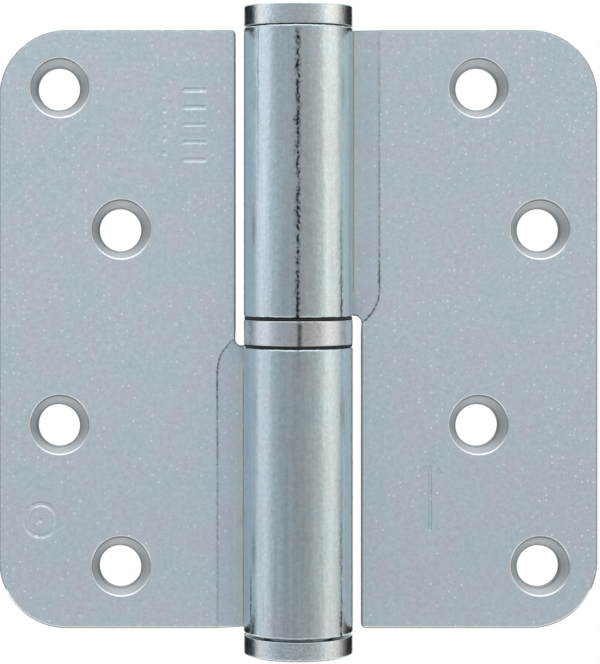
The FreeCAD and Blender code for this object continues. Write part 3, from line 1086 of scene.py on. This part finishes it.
    def hole_rings(self, centre: tuple[float, float]) -> list[tuple[np.ndarray, float]]:
        """Rings down a countersunk hole, from the front face to the back face.

        Args:
            centre: Middle of the hole in (s, z).

        Returns:
            (s, z) points and depth of each ring.
        """
        lip, hole, cone, back = (
            self.lip_radius, self.hole_radius, self.cone_radius, self.thickness
        )
        reach = lip * math.tan(math.radians(22.5))
        slant = reach * math.sqrt(0.5)
        floor = cone - hole
        rings = [(cone + reach + self.edge_step, 0.0)]
        for turn in map(math.radians, (0.0, 15.0, 30.0)):
            rings.append((cone + reach - lip * math.sin(turn), lip * (1 - math.cos(turn))))
        sunk = lip * (1 - math.sqrt(0.5))
        rings += [
            (cone - slant, sunk),
            (cone - slant - 0.1, sunk + 0.1),
            (cone - 0.65, 0.65),
            (hole + 0.08, floor - 0.08),
            (hole, floor),
            (hole, floor + 0.12),
            (hole, back - self.burr - 0.05),
            (hole, back - self.burr),
            (hole + self.burr, back),
            (hole + self.burr + self.edge_step, back),
        ]
        turns = np.linspace(0, 2 * math.pi, self.hole_segments, endpoint=False)
        ring = np.stack([np.cos(turns), np.sin(turns)], axis=1)
        placed = []
        for radius, depth in rings:
            middle = np.array(centre) + self.cone_shift * min(max(1 - depth / floor, 0), 1)
            placed.append((middle + radius * ring, depth))
        return placed

    def sheet_points(self, grooves: list[Groove], clear: float) -> np.ndarray:
        """Inner points of the sheet, closer together where it bends or is stamped.

        Args:
            grooves: Stamped strokes on this face.
            clear: How far the points stay from the holes' middles.

        Returns:
            Points in (s, z).
        """
        tx = float(self.touch_front[0])
        low = self.knuckle_face + 0.6
        past_crease = self.crease_x + 1.2
        roll, crank, plate = (
            np.stack(np.meshgrid(np.arange(*run), np.arange(*rise)), axis=-1).reshape(-1, 2)
            for run, rise in (
                (
                    (self.roll_end + 0.6, tx, self.roll_step),
                    (low, self.knuckle_end - 0.6, 1.2),
                ),
                ((tx, past_crease, 0.4), (low - 1.2, self.half_height - 0.6, 0.8)),
                (
                    (self.slot_edge + 0.6, self.half_width, self.plate_step),
                    (-self.half_height + 0.7, self.half_height, self.plate_step),
                ),
            )
        )
        cranked = (plate[:, 0] < past_crease) & (plate[:, 1] > low - 1.5)
        points = np.concatenate([roll, crank, plate[~cranked]])
        away = self.crease_distance(points[:, 0], points[:, 1])
        points = points[(points[:, 0] < tx) | (np.abs(away) > 0.42)]
        for groove in grooves:
            a, b = np.array(groove.start), np.array(groove.end)
            run = b - a
            share = np.clip(((points - a) @ run) / max(run @ run, 1e-9), 0, 1)
            gap = np.linalg.norm(points - a - share[:, None] * run, axis=1)
            points = points[gap > 2.2 * groove.half_width]
        lines = [groove.refining_points() for groove in grooves]
        heights = np.arange(self.arc_z, self.half_height - 0.5, 0.4)
        turns = np.arange(0, self.arc_sweep, 0.065)[1:]
        for offset in (-0.32, -0.16, -0.06, 0.0, 0.06, 0.16, 0.32):
            radius = self.crank_arc_radius + offset
            straight = (np.full_like(heights, self.crease_x + offset), heights)
            arc = (self.arc_x + radius * np.cos(turns), self.arc_z - radius * np.sin(turns))
            lines += [np.stack(straight, axis=1), np.stack(arc, axis=1)]
        points = np.concatenate([points] + lines)
        for centre in self.holes:
            points = points[np.linalg.norm(points - np.array(centre), axis=1) > clear]
        return points

    @staticmethod
    def inside(points: np.ndarray, loop: np.ndarray, clear: float) -> np.ndarray:
        """Which points lie inside a loop and clear of it.

        Args:
            points: Points to test.
            loop: Closed loop.
            clear: Least distance from the loop's own points.

        Returns:
            One truth value for each point.
        """
        x, y = points[:, 0:1], points[:, 1:2]
        x1, y1 = loop.T
        x2, y2 = np.roll(x1, -1), np.roll(y1, -1)
        rise = np.where(y2 == y1, 1e-12, y2 - y1)
        crosses = ((y1 > y) != (y2 > y)) & (x < x1 + (y - y1) * (x2 - x1) / rise)
        odd = crosses.sum(axis=1) % 2 == 1
        return odd & (np.min((x - x1) ** 2 + (y - y1) ** 2, axis=1) > clear**2)

    def triangulate(
        self, loop: np.ndarray, circles: list[np.ndarray], points: np.ndarray
    ) -> tuple[np.ndarray, np.ndarray]:
        """Fills the area between the outline and the holes with triangles.

        Args:
            loop: Outer loop.
            circles: One loop for each hole.
            points: Inner points.

        Returns:
            All points, the loops' first and in order, and the triangles.
        """
        loops = [loop] + circles
        edges, start = [], 0
        for ring in loops:
            count = len(ring)
            edges += [(start + i, start + (i + 1) % count) for i in range(count)]
            start += count
        flat = [Vector(p) for p in np.concatenate(loops + [points]).tolist()]
        out = delaunay_2d_cdt(flat, edges, [], 1, 1e-7)
        co = np.array([tuple(v) for v in out[0]])
        tris = np.array([tuple(f) for f in out[2]])
        origin = np.array([sources[0] if sources else len(flat) for sources in out[3]])
        order = np.argsort(origin, kind="stable")
        rank = np.empty(len(co), dtype=int)
        rank[order] = np.arange(len(co))
        co, tris = co[order], rank[tris]
        middle = co[tris].mean(axis=1)
        keep = np.ones(len(tris), dtype=bool)
        for circle in circles:
            centre = circle.mean(axis=0)
            radius = float(np.linalg.norm(circle[0] - centre))
            keep &= np.linalg.norm(middle - centre, axis=1) > radius * 0.998
        return co, tris[keep]

    def build(self, grooves: list[Groove]) -> bpy.types.Object:
        """Builds the closed sheet with its attributes.

        Args:
            grooves: Stamped strokes, which only set where points are close together.

        Returns:
            The leaf, in place in the hinge.
        """
        edge = self.edge_rings(self.outline())
        holes = [self.hole_rings(centre) for centre in self.holes]
        parts, faces, offset = [], [], 0
        joins = {}
        for which, strokes, clear in (
            (0, grooves, self.cone_radius + 0.85),
            (-1, [], self.hole_radius + 0.6),
        ):
            outer = edge[which][0]
            circles = [rings[which][0] for rings in holes]
            points = self.sheet_points(strokes, clear)
            points = points[self.inside(points, outer, 0.16)]
            co, tris = self.triangulate(outer, circles, points)
            parts.append((co, np.full(len(co), 0.0 if which == 0 else self.thickness)))
            area = np.cross(co[tris[:, 1]] - co[tris[:, 0]], co[tris[:, 2]] - co[tris[:, 0]])
            tris[area < 0] = tris[area < 0][:, ::-1]
            if which == -1:
                tris = tris[:, ::-1]
            faces += (tris + offset).tolist()
            first = offset
            for number, ring in enumerate([outer] + circles, start=-1):
                joins[(which, number)] = np.arange(len(ring)) + first
                first += len(ring)
            offset += len(co)
        for number, rings in enumerate([edge] + holes, start=-1):
            last = joins[(0, number)]
            for points, depth in rings[1:-1] + [rings[-1]]:
                count = len(points)
                if points is rings[-1][0]:
                    ring = joins[(-1, number)]
                else:
                    ring = np.arange(count) + offset
                    parts.append((points, np.broadcast_to(depth, (count,))))
                    offset += count
                quads = np.stack([last, ring, np.roll(ring, -1), np.roll(last, -1)], axis=1)
                faces += (quads if number < 0 else quads[:, ::-1]).tolist()
                last = ring
        flat, depth = (np.concatenate(pieces) for pieces in zip(*parts))
        s, z = flat.T
        points = self.place(s, z, depth)
        points[:, [0, 2]] *= self.side.value
        leaf = mesh_object(self.name, points, faces)
        self.write_attributes(leaf.data, s, z, depth)
        return leaf

    def write_attributes(
        self, mesh: bpy.types.Mesh, s: np.ndarray, z: np.ndarray, depth: np.ndarray
    ) -> None:
        """Writes what the material reads.

        Args:
            mesh: The leaf's mesh.
            s: Run along the sheet of each vertex.
            z: Height of each vertex, as the door leaf.
            depth: Depth of each vertex.
        """
        turn, thickness, corner = self.side.value, self.thickness, self.corner_radius
        rolled = np.clip((2.5 - s) / 3.0, 0, 1)
        crease = np.clip(self.crease_distance(s, z), -FAR, FAR)
        crease = np.where((s < 4.0) | (depth > 1.0) | (z < 0.9), FAR, crease)
        crank = np.clip(-crease, 0, self.crank_reach)
        front = self.roll_angle(s) - 1.5 * math.pi
        arc = np.clip(turn * self.outer_radius * front, -4 * FAR, 4 * FAR)
        arc = np.where(depth > 1.5, arc, 4 * FAR)
        floor = self.cone_radius - self.hole_radius
        shift = np.clip((floor - depth) / floor, 0, 1)[:, None] * self.cone_shift
        spots = np.stack([s, z], axis=1)
        gaps = np.stack([np.hypot(*(spots - hole - shift).T) for hole in self.holes])
        radius, nearest = gaps.min(axis=0), gaps.argmin(axis=0)
        rise = z - np.array(self.holes)[nearest, 1] - shift[:, 1]
        bore_up = turn * np.clip(rise / np.maximum(radius, 0.1), -1, 1)
        at_back = depth > thickness - 0.02
        radius = np.where(at_back, 6.0, np.minimum(radius, 6.0))
        bore = np.clip((self.cone_radius - 0.15 - radius) / 0.08, 0, 1)
        # Painted highlight, on a smoother finish: a ring round each countersink's lip
        pressed = np.clip(1 - np.abs(radius - self.cone_radius) / 0.2, 0, 1)
        # Painted highlight on the rolled-over edge along the leaf's foot and round its lower
        # corner
        low = turn * z
        round_s = s - (s.max() - corner)
        round_z = low + self.half_height - corner
        at_foot = np.hypot(round_s, round_z) > corner - 0.35
        at_foot &= (round_s > 0) & (round_z < -0.42 * corner)
        at_foot |= low < 0.35 - self.half_height
        pressed = np.where(at_foot & (depth < 0.3) & (s > 2.5), 0.9, pressed)
        # Below it the sheared edge gets painted shade, and its rim painted shade with nicks
        # worn bare
        outline = (radius > 5.5) & (s > 2.5) & ~at_back
        bright_until = np.where(at_foot, 0.18, 0.0)
        sheared = np.where(outline, np.clip((depth - bright_until) / 0.03, 0, 1), 0)
        # Painted highlight and shade along the knuckle's end at the bearing or the cap
        outer_edge = (depth > thickness - 0.4) & (s < self.touch_front[0])
        upper = self.knuckle_face if self.side is Side.FRAME else self.knuckle_end
        worn = np.where(outer_edge, np.clip(1 - np.abs(z - upper) / 0.34, 0, 1), 0)
        worn = np.where(outline & (depth > 0.02) & (depth < 0.3), 0.72, worn)
        layers = (rolled, worn, crease, crank, arc, bore, radius, bore_up, sheared, pressed)
        for name, values in zip(self.attributes, layers):
            layer = mesh.attributes.new(name, "FLOAT", "POINT")
            layer.data.foreach_set("value", values.astype(np.float32))


def press_tree(material: bpy.types.Material) -> bpy.types.NodeTree:
    """Tree that presses round-bottomed strokes into a leaf along a wire's edges.

    Args:
        material: Material of the leaf.

    Returns:
        Tree with the leaf, the wire and the stroke's radius, depth and lip as inputs.
    """
    tree, add, given = new_tree(
        "pressed_strokes",
        Leaf="Geometry",
        Strokes="Object",
        Radius="Float",
        Depth="Float",
        Lip="Float",
    )
    wire = add("GeometryNodeObjectInfo", {"Object": given["Strokes"]}).outputs["Geometry"]
    near = add("GeometryNodeProximity", {"Geometry": wire}, target_element="EDGES")
    away = near.outputs["Distance"]
    squares = [add("Math", (x, 2.0), operation="POWER") for x in (given["Radius"], away)]
    left = add("Math", tuple(squares), operation="SUBTRACT")
    left = add("Math", (left, 0.0), operation="MAXIMUM")
    dish = add("Math", (left,), operation="SQRT")
    rise = add("Math", (given["Radius"], given["Depth"]), operation="SUBTRACT")
    sunk = add("Math", (dish, rise), operation="SUBTRACT")
    pressed = add("Math", (sunk, 0.0), operation="MAXIMUM")
    outside = add("Math", (sunk, 0.0), operation="LESS_THAN")
    swell = (away, 0.35 * MM, 0.85 * MM, 1.0, 0.0)
    lip = add("MapRange", swell, interpolation_type="SMOOTHSTEP")
    for factor in (given["Lip"], outside):
        lip = add("Math", (lip, factor), operation="MULTIPLY")
    shift = add("Math", (pressed, lip), operation="SUBTRACT")
    height = add("SeparateXYZ", (add("GeometryNodeInputPosition"),)).outputs["Y"]
    front = add("Math", (height, 1.52 * MM), operation="LESS_THAN")
    moved = add(
        "GeometryNodeSetPosition",
        {
            "Geometry": given["Leaf"],
            "Selection": front,
            "Offset": add("CombineXYZ", {"Y": shift}),
        },
    )
    before = add("GeometryNodeInputNamedAttribute", {"Name": "pressed"}, data_type="FLOAT")
    inside = add("Math", (pressed, 0.0), operation="GREATER_THAN")
    stamped = add("Math", (inside, front), operation="MULTIPLY")
    either = add("Math", (before.outputs["Attribute"], stamped), operation="MAXIMUM")
    marked = add(
        "GeometryNodeStoreNamedAttribute",
        {"Geometry": moved, "Name": "pressed", "Value": either},
        data_type="FLOAT",
        domain="POINT",
    )
    finish_tree(add, marked, material)
    return tree


@dataclass(frozen=True)
class StampedMarks:
    """Plain stamped marks: columns of bars and dots, a ring with a dot, an arrow."""

    depth: float = 0.2
    bold: float = 0.42
    fine: float = 0.26
    lip: float = 0.03
    bar_count: int = 5
    bar_length: float = 3.0
    bar_pitch: float = 2.6
    bar_column: float = 15.4
    column_height: float = 30.4
    dot_count: int = 5
    dot_length: float = 0.001
    dot_pitch: float = 2.1
    dot_column: float = 19.9
    ring_radius: float = 2.4
    ring_column: float = 38.3
    ring_height: float = -28.4
    ring_sides: int = 48
    arrow_length: float = 10.4
    arrow_head: tuple[float, float] = (2.2, 3.2)
    arrow_column: float = 19.6
    arrow_height: float = -24.6

    def frame_strokes(self) -> list[Groove]:
        """Strokes of the frame leaf, as (x, z) in the hinge."""
        lines = []
        for n in range(self.bar_count):
            z = self.column_height + (n - (self.bar_count - 1) / 2) * self.bar_pitch
            x, half = -self.bar_column, self.bar_length / 2
            lines.append(((x - half, z), (x + half, z)))
        for n in range(self.dot_count):
            z = self.column_height + (n - (self.dot_count - 1) / 2) * self.dot_pitch
            lines.append(((-self.dot_column, z), (self.dot_length - self.dot_column, z)))
        x, z = -self.ring_column, self.ring_height
        lines.append(((x, z), (x + self.dot_length, z)))
        turns = np.linspace(0, 2 * math.pi, self.ring_sides + 1)
        radius = self.ring_radius
        rim = [(x + radius * math.cos(t), z + radius * math.sin(t)) for t in turns]
        lines += zip(rim, rim[1:])
        return [Groove(a, b, self.bold, self.depth) for a, b in lines]

    def door_strokes(self) -> list[Groove]:
        """Strokes of the door leaf, as (x, z) in the hinge."""
        x = self.arrow_column
        tip = (x, self.arrow_height + self.arrow_length / 2)
        foot = (x, self.arrow_height - self.arrow_length / 2)
        length, width = self.arrow_head
        barbs = [(x + k * width / 2, tip[1] - length) for k in (-1, 1)]
        return [Groove(a, tip, self.fine, self.depth) for a in [foot] + barbs]

    def press(
        self, leaf: bpy.types.Object, strokes: list[Groove], tree: bpy.types.NodeTree
    ) -> None:
        """Presses the strokes into a leaf.

        Args:
            leaf: Leaf whose mesh already has points beside each stroke.
            strokes: Strokes in the hinge's (x, z).
            tree: Tree that presses along a wire.
        """
        front = LeafPressing.front_face
        points = [(x, front, z) for stroke in strokes for x, z in (stroke.start, stroke.end)]
        edges = [(n, n + 1) for n in range(0, len(points), 2)]
        wire = mesh_object("stroke_lines", points, [], edges)
        radius = strokes[0].radius * MM
        depth, lip = self.depth * MM, self.lip * MM
        bake_tree(leaf, tree, Strokes=wire, Radius=radius, Depth=depth, Lip=lip)
        bpy.data.objects.remove(wire)


# Turned pieces


def lathe_tree(material: bpy.types.Material) -> bpy.types.NodeTree:
    """Tree that turns a wire profile round the Z axis.

    Args:
        material: Material of the piece.

    Returns:
        Tree with the profile, its points, the segments and the edge's wander as inputs.
    """
    tree, add, given = new_tree(
        "turned_piece",
        Profile="Object",
        Points="Int",
        Segments="Int",
        Wander="Float",
        WanderScale="Float",
    )
    profile = add("GeometryNodeObjectInfo", {"Object": given["Profile"]})
    around = add("Math", (given["Segments"], 1.0), operation="ADD")
    grid = add("GeometryNodeMeshGrid", {"Vertices X": given["Points"], "Vertices Y": around})
    index = add("GeometryNodeInputIndex")
    station = add("Math", (index, around), operation="DIVIDE")
    round_index = add("Math", (index, around), operation="MODULO")
    share = add("Math", (round_index, given["Segments"]), operation="DIVIDE")
    place = add("GeometryNodeInputPosition")
    sample = add(
        "GeometryNodeSampleIndex",
        {
            "Geometry": profile.outputs["Geometry"],
            "Value": place,
            "Index": add("Math", (station,), operation="FLOOR"),
        },
        data_type="FLOAT_VECTOR",
        domain="POINT",
    )
    rotated = add(
        "VectorRotate",
        {"Vector": sample, "Angle": add("Math", (share, 2 * math.pi), operation="MULTIPLY")},
        rotation_type="Z_AXIS",
    )
    shaped = add("GeometryNodeSetPosition", {"Geometry": grid, "Position": rotated})
    merged = add("GeometryNodeMergeByDistance", {"Geometry": shaped, "Distance": 1e-6})
    noise = add("TexNoise", {"Vector": place, "Scale": given["WanderScale"], "Detail": 2.0})
    # The noise stays under 0.9, so that the wander only goes inwards
    amount = add("Math", (noise, 0.9), operation="SUBTRACT")
    amount = add("Math", (amount, given["Wander"]), operation="MULTIPLY")
    push = {0: add("GeometryNodeInputNormal"), "Scale": amount}
    push = add("VectorMath", push, operation="SCALE")
    uneven = add("GeometryNodeSetPosition", {"Geometry": merged, "Offset": push})
    finish_tree(add, uneven, material)
    return tree


@dataclass
class TurnedPiece:
    """A piece turned on a lathe, from (radius, height) points of its section."""

    name: str
    node: str
    slot: str
    body: Body
    section: Points
    wander: float
    wander_period: float = 0.6
    segments: int = 144

    def build(self, tree: bpy.types.NodeTree) -> None:
        """Turns the section and settles the piece.

        Args:
            tree: Lathe tree with the piece's material.
        """
        section = self.section
        area = sum(a[0] * b[1] - b[0] * a[1] for a, b in zip(section, section[1:]))
        if area > 0:
            section = section[::-1]
        points = [(radius, 0.0, height) for radius, height in section]
        edges = [(n, n + 1) for n in range(len(points) - 1)]
        wire = mesh_object(self.name + "_section", points, [], edges)
        piece = mesh_object(self.name, np.zeros((0, 3)), [])
        bake_tree(
            piece,
            tree,
            Profile=wire,
            Points=len(points),
            Segments=self.segments,
            Wander=self.wander * MM,
            WanderScale=1 / (self.wander_period * MM),
        )
        bpy.data.objects.remove(wire)
        point_outwards(piece)
        smooth(piece, 30.0)
        settle(piece, self.body, [self.node])


def rounded(start: tuple, corner: tuple, end: tuple, reach: float, steps: int) -> Points:
    """Rounds one corner of a section.

    Args:
        start: Point before the corner.
        corner: The corner.
        end: Point after the corner.
        reach: Distance from the corner at which the rounding starts.
        steps: Number of pieces that the rounding has.

    Returns:
        Points along the rounding.
    """
    a, b, c = (np.array(p, dtype=float) for p in (start, corner, end))
    first = b + (a - b) / np.hypot(*(a - b)) * reach
    last = b + (c - b) / np.hypot(*(c - b)) * reach
    shares = np.linspace(0, 1, steps + 1)
    return [tuple((1 - t) ** 2 * first + 2 * t * (1 - t) * b + t**2 * last) for t in shares]


@dataclass(frozen=True)
class EndCap:
    """Button that closes one end of the barrel, with a spigot in the bore."""

    radius: float = 8.05
    knuckle_end: float = 44.69
    gaps: tuple[float, float] = (0.1, 0.3)
    rim: float = 47.85
    rim_radius: float = 0.3
    seat_chamfer: float = 0.12
    bore_radius: float = 5.08
    spigot_tip: float = 39.69
    spigot_chamfer: float = 0.5

    def section(self, side: int) -> Points:
        """Section from the axis on top round to the axis at the spigot's tip.

        Args:
            side: 1 for the top cap and -1 for the bottom one.

        Returns:
            (radius, height) points.
        """
        rim, radius, bore, tip = self.rim, self.radius, self.bore_radius, self.spigot_tip
        seat = self.knuckle_end + self.gaps[0 if side > 0 else 1]
        points = [(r, rim) for r in (0.0, 2.5, 5.0, radius - 0.6)]
        points += rounded((0, rim), (radius, rim), (radius, 0), self.rim_radius, 5)
        points += [(radius, float(z)) for z in np.linspace(rim - 0.5, seat + 0.4, 6)]
        points += rounded((radius, rim), (radius, seat), (0, seat), self.seat_chamfer, 4)
        points += [
            (bore, seat),
            (bore, seat - 0.2),
            (bore, tip + self.spigot_chamfer),
            (bore - self.spigot_chamfer, tip),
            (0.0, tip),
        ]
        return [(radius, side * height) for radius, height in points]


@dataclass(frozen=True)
class BallBearing:
    """Caged ball thrust bearing between the knuckles."""

    ball_count: int = 16
    ball_radius: float = 0.794
    pitch_radius: float = 6.3
    shell_bore: float = 7.5
    shell_radius: float = 8.08
    shell_half: float = 1.83
    # Roundings of the shell's lower and upper outer edge
    shell_rounds: tuple[float, float] = (0.1, 0.18)
    drop: float = 0.27

    def shell_section(self) -> Points:
        """Closed section of the ring that shows between the knuckles."""
        inner, outer, half = self.shell_bore, self.shell_radius, self.shell_half
        low, high = self.shell_rounds
        points = [(inner, -half), (inner + 0.1, -half)]
        points += rounded((inner, -half), (outer, -half), (outer, half), low, 4)
        points += [(outer, z) for z in (-1.5, -0.75, 0.0, 0.75, 1.5)]
        points += rounded((outer, -half), (outer, half), (inner, half), high, 4)
        points += [(inner + 0.1, half), (inner, half), (inner, half - 0.1)]
        points += [(inner, -half + 0.1), (inner, -half)]
        return [(radius, height - self.drop) for radius, height in points]

    def balls(self, material: bpy.types.Material) -> None:
        """Builds the ring of balls as one mesh, through a tree that sets them out.

        Args:
            material: Material of the balls.
        """
        tree, add, given = new_tree(
            "ball_ring", Count="Int", PitchRadius="Float", BallRadius="Float", Height="Float"
        )
        spots = {"Vertices": given["Count"], "Radius": given["PitchRadius"]}
        circle = add("GeometryNodeMeshCircle", spots)
        drop = add("CombineXYZ", {"Z": given["Height"]})
        lowered = add("GeometryNodeSetPosition", {"Geometry": circle, "Offset": drop})
        size = {"Segments": 32, "Rings": 20, "Radius": given["BallRadius"]}
        ball = add("GeometryNodeMeshUVSphere", size)
        spread = add("GeometryNodeInstanceOnPoints", {"Points": lowered, "Instance": ball})
        finish_tree(add, spread, material)
        ring = mesh_object("ring_of_balls", np.zeros((0, 3)), [])
        bake_tree(
            ring,
            tree,
            Count=self.ball_count,
            PitchRadius=self.pitch_radius * MM,
            BallRadius=self.ball_radius * MM,
            Height=-self.drop * MM,
        )
        ring.data.shade_smooth()
        nodes = [f"ball_{n:02d}" for n in range(1, self.ball_count + 1)]
        settle(ring, Body.CAGE, nodes)


# Studio


@dataclass(frozen=True)
class Studio:
    """Soft studio round the hinge, with the camera where the photograph was taken.

    The room round the hinge has three ramps: how bright its walls are at each angle, in
    degrees to the right of the camera, how they are tinted there, and how bright the
    floor and the ceiling are, from straight down at 0 to straight up at 1.
    """

    camera_x: float = 0.25
    camera_distance: float = 350.0
    camera_z: float = 15.5
    focal_pixels: float = 2363.0
    frame_height: int = 664
    horizon_row: float = 225.0
    sensor: float = 36.0
    floor_drop: float = 120.0
    floor_radius: float = 360.0
    floor_sides: int = 96
    floor_paint: str = "#E9EAEA"
    walls: Points = (
        (-180, 1.0), (-165, 1.0), (-160, 0.02), (-112, 0.03), (-104, 0.30), (-97, 0.88),
        (-70, 0.92), (-57, 0.60), (-46, 0.51), (-29, 0.44), (0, 0.405), (22, 0.45),
        (36, 0.54), (49, 0.68), (58, 0.96), (66, 1.10), (76, 1.02), (84, 0.98), (90, 0.85),
        (98, 0.70), (108, 0.36), (118, 0.10), (128, 0.03), (160, 0.02), (165, 1.0),
        (180, 1.0),
    )
    tints: tuple[tuple[float, Colour], ...] = (
        (-180, WHITE),
        (-85, (0.97, 1.0, 1.06, 1.0)),
        (-40, (0.93, 1.0, 1.09, 1.0)),
        (0, (0.99, 1.0, 1.02, 1.0)),
        (30, (1.0, 1.0, 0.99, 1.0)),
        (75, (1.04, 1.0, 0.95, 1.0)),
        (105, (1.04, 1.0, 0.94, 1.0)),
        (180, WHITE),
    )
    heights: Points = (
        (0.0, 0.36), (0.085, 0.30), (0.125, 0.12), (0.20, 1.0), (0.36, 1.10), (0.45, 0.70),
        (0.60, 0.64), (0.77, 0.80), (0.87, 1.45), (1.0, 1.5),
    )

    def camera(self) -> None:
        """Sets a level camera, shifted as the photograph is framed."""
        data = bpy.data.cameras.new("camera")
        data.sensor_width = self.sensor
        data.lens = self.focal_pixels * self.sensor / self.frame_height
        data.shift_y = (self.horizon_row - self.frame_height / 2) / self.frame_height
        data.clip_start = 0.01
        camera = bpy.data.objects.new("camera", data)
        place = (self.camera_x, -self.camera_distance, self.camera_z)
        camera.location = [c * MM for c in place]
        camera.rotation_euler = (math.pi / 2, 0, 0)
        bpy.context.scene.collection.objects.link(camera)
        bpy.context.scene.camera = camera

    def world(self) -> None:
        """Lights the hinge by a soft room: light panels at both sides, dark behind them."""
        world = bpy.data.worlds.new("soft_studio")
        bpy.context.scene.world = world
        world.use_nodes = True
        world.node_tree.nodes.clear()
        add = partial(add_node, world.node_tree)
        coords = add("TexCoord").outputs["Generated"]
        parts = add("SeparateXYZ", (coords,)).outputs
        toward = add("Math", (parts["Y"], -1.0), operation="MULTIPLY")
        azimuth = add("Math", (parts["X"], toward), operation="ARCTAN2")
        around = add("MapRange", (azimuth, -math.pi, math.pi, 0.0, 1.0))
        walls, tints = (
            set_stops(add("ValToRGB", (around,)), [(0.5 + a / 360, level) for a, level in ramp])
            for ramp in (self.walls, self.tints)
        )
        tinted = add("VectorMath", (walls, tints), operation="MULTIPLY")
        rise = add("MapRange", (parts["Z"], -0.4, 0.3, 0.60, 1.22))
        graded = add("VectorMath", {0: tinted, "Scale": rise}, operation="SCALE")
        up = add("MapRange", (parts["Z"], -1.0, 1.0, 0.0, 1.0))
        poles = set_stops(add("ValToRGB", (up,)), self.heights)
        steep = add("Math", (parts["Z"],), operation="ABSOLUTE")
        blend = (steep, 0.22, 0.38, 0.0, 1.0)
        blend = add("MapRange", blend, interpolation_type="SMOOTHSTEP")
        room = add("Mix", {0: blend, 6: graded, 7: poles}, data_type="RGBA")
        # The camera itself sees white behind the hinge
        direct = add("LightPath").outputs["Is Camera Ray"]
        seen = add("Mix", {0: direct, 6: room, 7: WHITE}, data_type="RGBA")
        light = add("Background", {"Color": seen, "Strength": 1.0})
        add("OutputWorld", {"Surface": light})

    def floor(self) -> None:
        """Lays a pale matt floor under the hinge, which fades to white at its edge."""
        turns = np.linspace(0, 2 * math.pi, self.floor_sides, endpoint=False)
        rim = np.stack([np.cos(turns), np.sin(turns), 0 * turns], axis=1)
        points = rim * self.floor_radius - np.array([0, 0, self.floor_drop])
        floor = mesh_object("studio_floor", points, [list(range(self.floor_sides))])
        # Floor paint: dead matt, so that the hinge doesn't stand in a glare
        paint, add = new_material("matt_pale_floor_paint")
        coords = add("TexCoord").outputs["Object"]
        flat = add("Mapping", {"Vector": coords, "Scale": (1, 1, 0)})
        away = add("VectorMath", (flat,), operation="LENGTH").outputs["Value"]
        radius = self.floor_radius * MM
        fade = (away, radius * 0.25, radius * 0.97, 0.0, 1.0)
        fade = add("MapRange", fade, interpolation_type="SMOOTHSTEP")
        direct = add("LightPath").outputs["Is Camera Ray"]
        seen = add("Math", (fade, direct), operation="MULTIPLY")
        matt = add("BsdfDiffuse", {"Color": linear(self.floor_paint)})
        white = add("Emission", {"Color": WHITE, "Strength": 1.0})
        mixed = add("MixShader", (seen, matt, white))
        add("OutputMaterial", {"Surface": mixed})
        floor.data.materials.append(paint)
        floor.visible_glossy = False


# The hinge


def dress_node(node: str, material: bpy.types.Material) -> None:
    """Gives a CAD node its finish."""
    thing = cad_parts[node]
    thing.data.materials.clear()
    thing.data.materials.append(material)
    log.info("%s keeps its CAD shape", node)


def build_leaves() -> None:
    """Builds both leaves with their stamped marks."""
    tree = press_tree(PressedZincFinish().material())
    marks = StampedMarks()
    for node, side, body, strokes in (
        ("door_leaf", Side.DOOR, Body.DOOR, marks.door_strokes()),
        ("frame_leaf", Side.FRAME, Body.FRAME, marks.frame_strokes()),
    ):
        pressing = LeafPressing(node + "_sheet", side)
        leaf = pressing.build([stroke.laid(side.value) for stroke in strokes])
        marks.press(leaf, strokes, tree)
        smooth(leaf, 50.0)
        settle(leaf, body, [node])


def build_barrel() -> None:
    """Builds the caps, the pin and the bearing."""
    lathe = lathe_tree(CAP_FINISH.material())
    for node, body, side in (("top_cap", Body.DOOR, 1), ("bottom_cap", Body.FRAME, -1)):
        section = EndCap().section(side)
        TurnedPiece(node + "_button", node, "cap_zinc", body, section, 0.03).build(lathe)
    bearing = BallBearing()
    section = bearing.shell_section()
    TurnedPiece(
        "bearing_shell_ring", "bearing_shell", "shell_zinc", Body.FRAME, section, 0.02
    ).build(lathe_tree(RING_FINISH.material()))
    bearing.balls(BEARING_FINISH.material())
    dress_node("hinge_pin", PIN_FINISH.material())
    races = RACE_FINISH.material()
    for node in ("upper_race", "lower_race"):
        dress_node(node, races)
    dress_node("ball_cage", CAGE_FINISH.material())


def main() -> None:
    """Builds the hinge and its studio."""
    logging.basicConfig(level=logging.INFO, format="%(name)s: %(message)s")
    build_leaves()
    build_barrel()
    studio = Studio()
    studio.camera()
    studio.world()
    studio.floor()
    bpy.context.scene.view_settings.view_transform = "Standard"


if __name__ == "__main__":
    main()
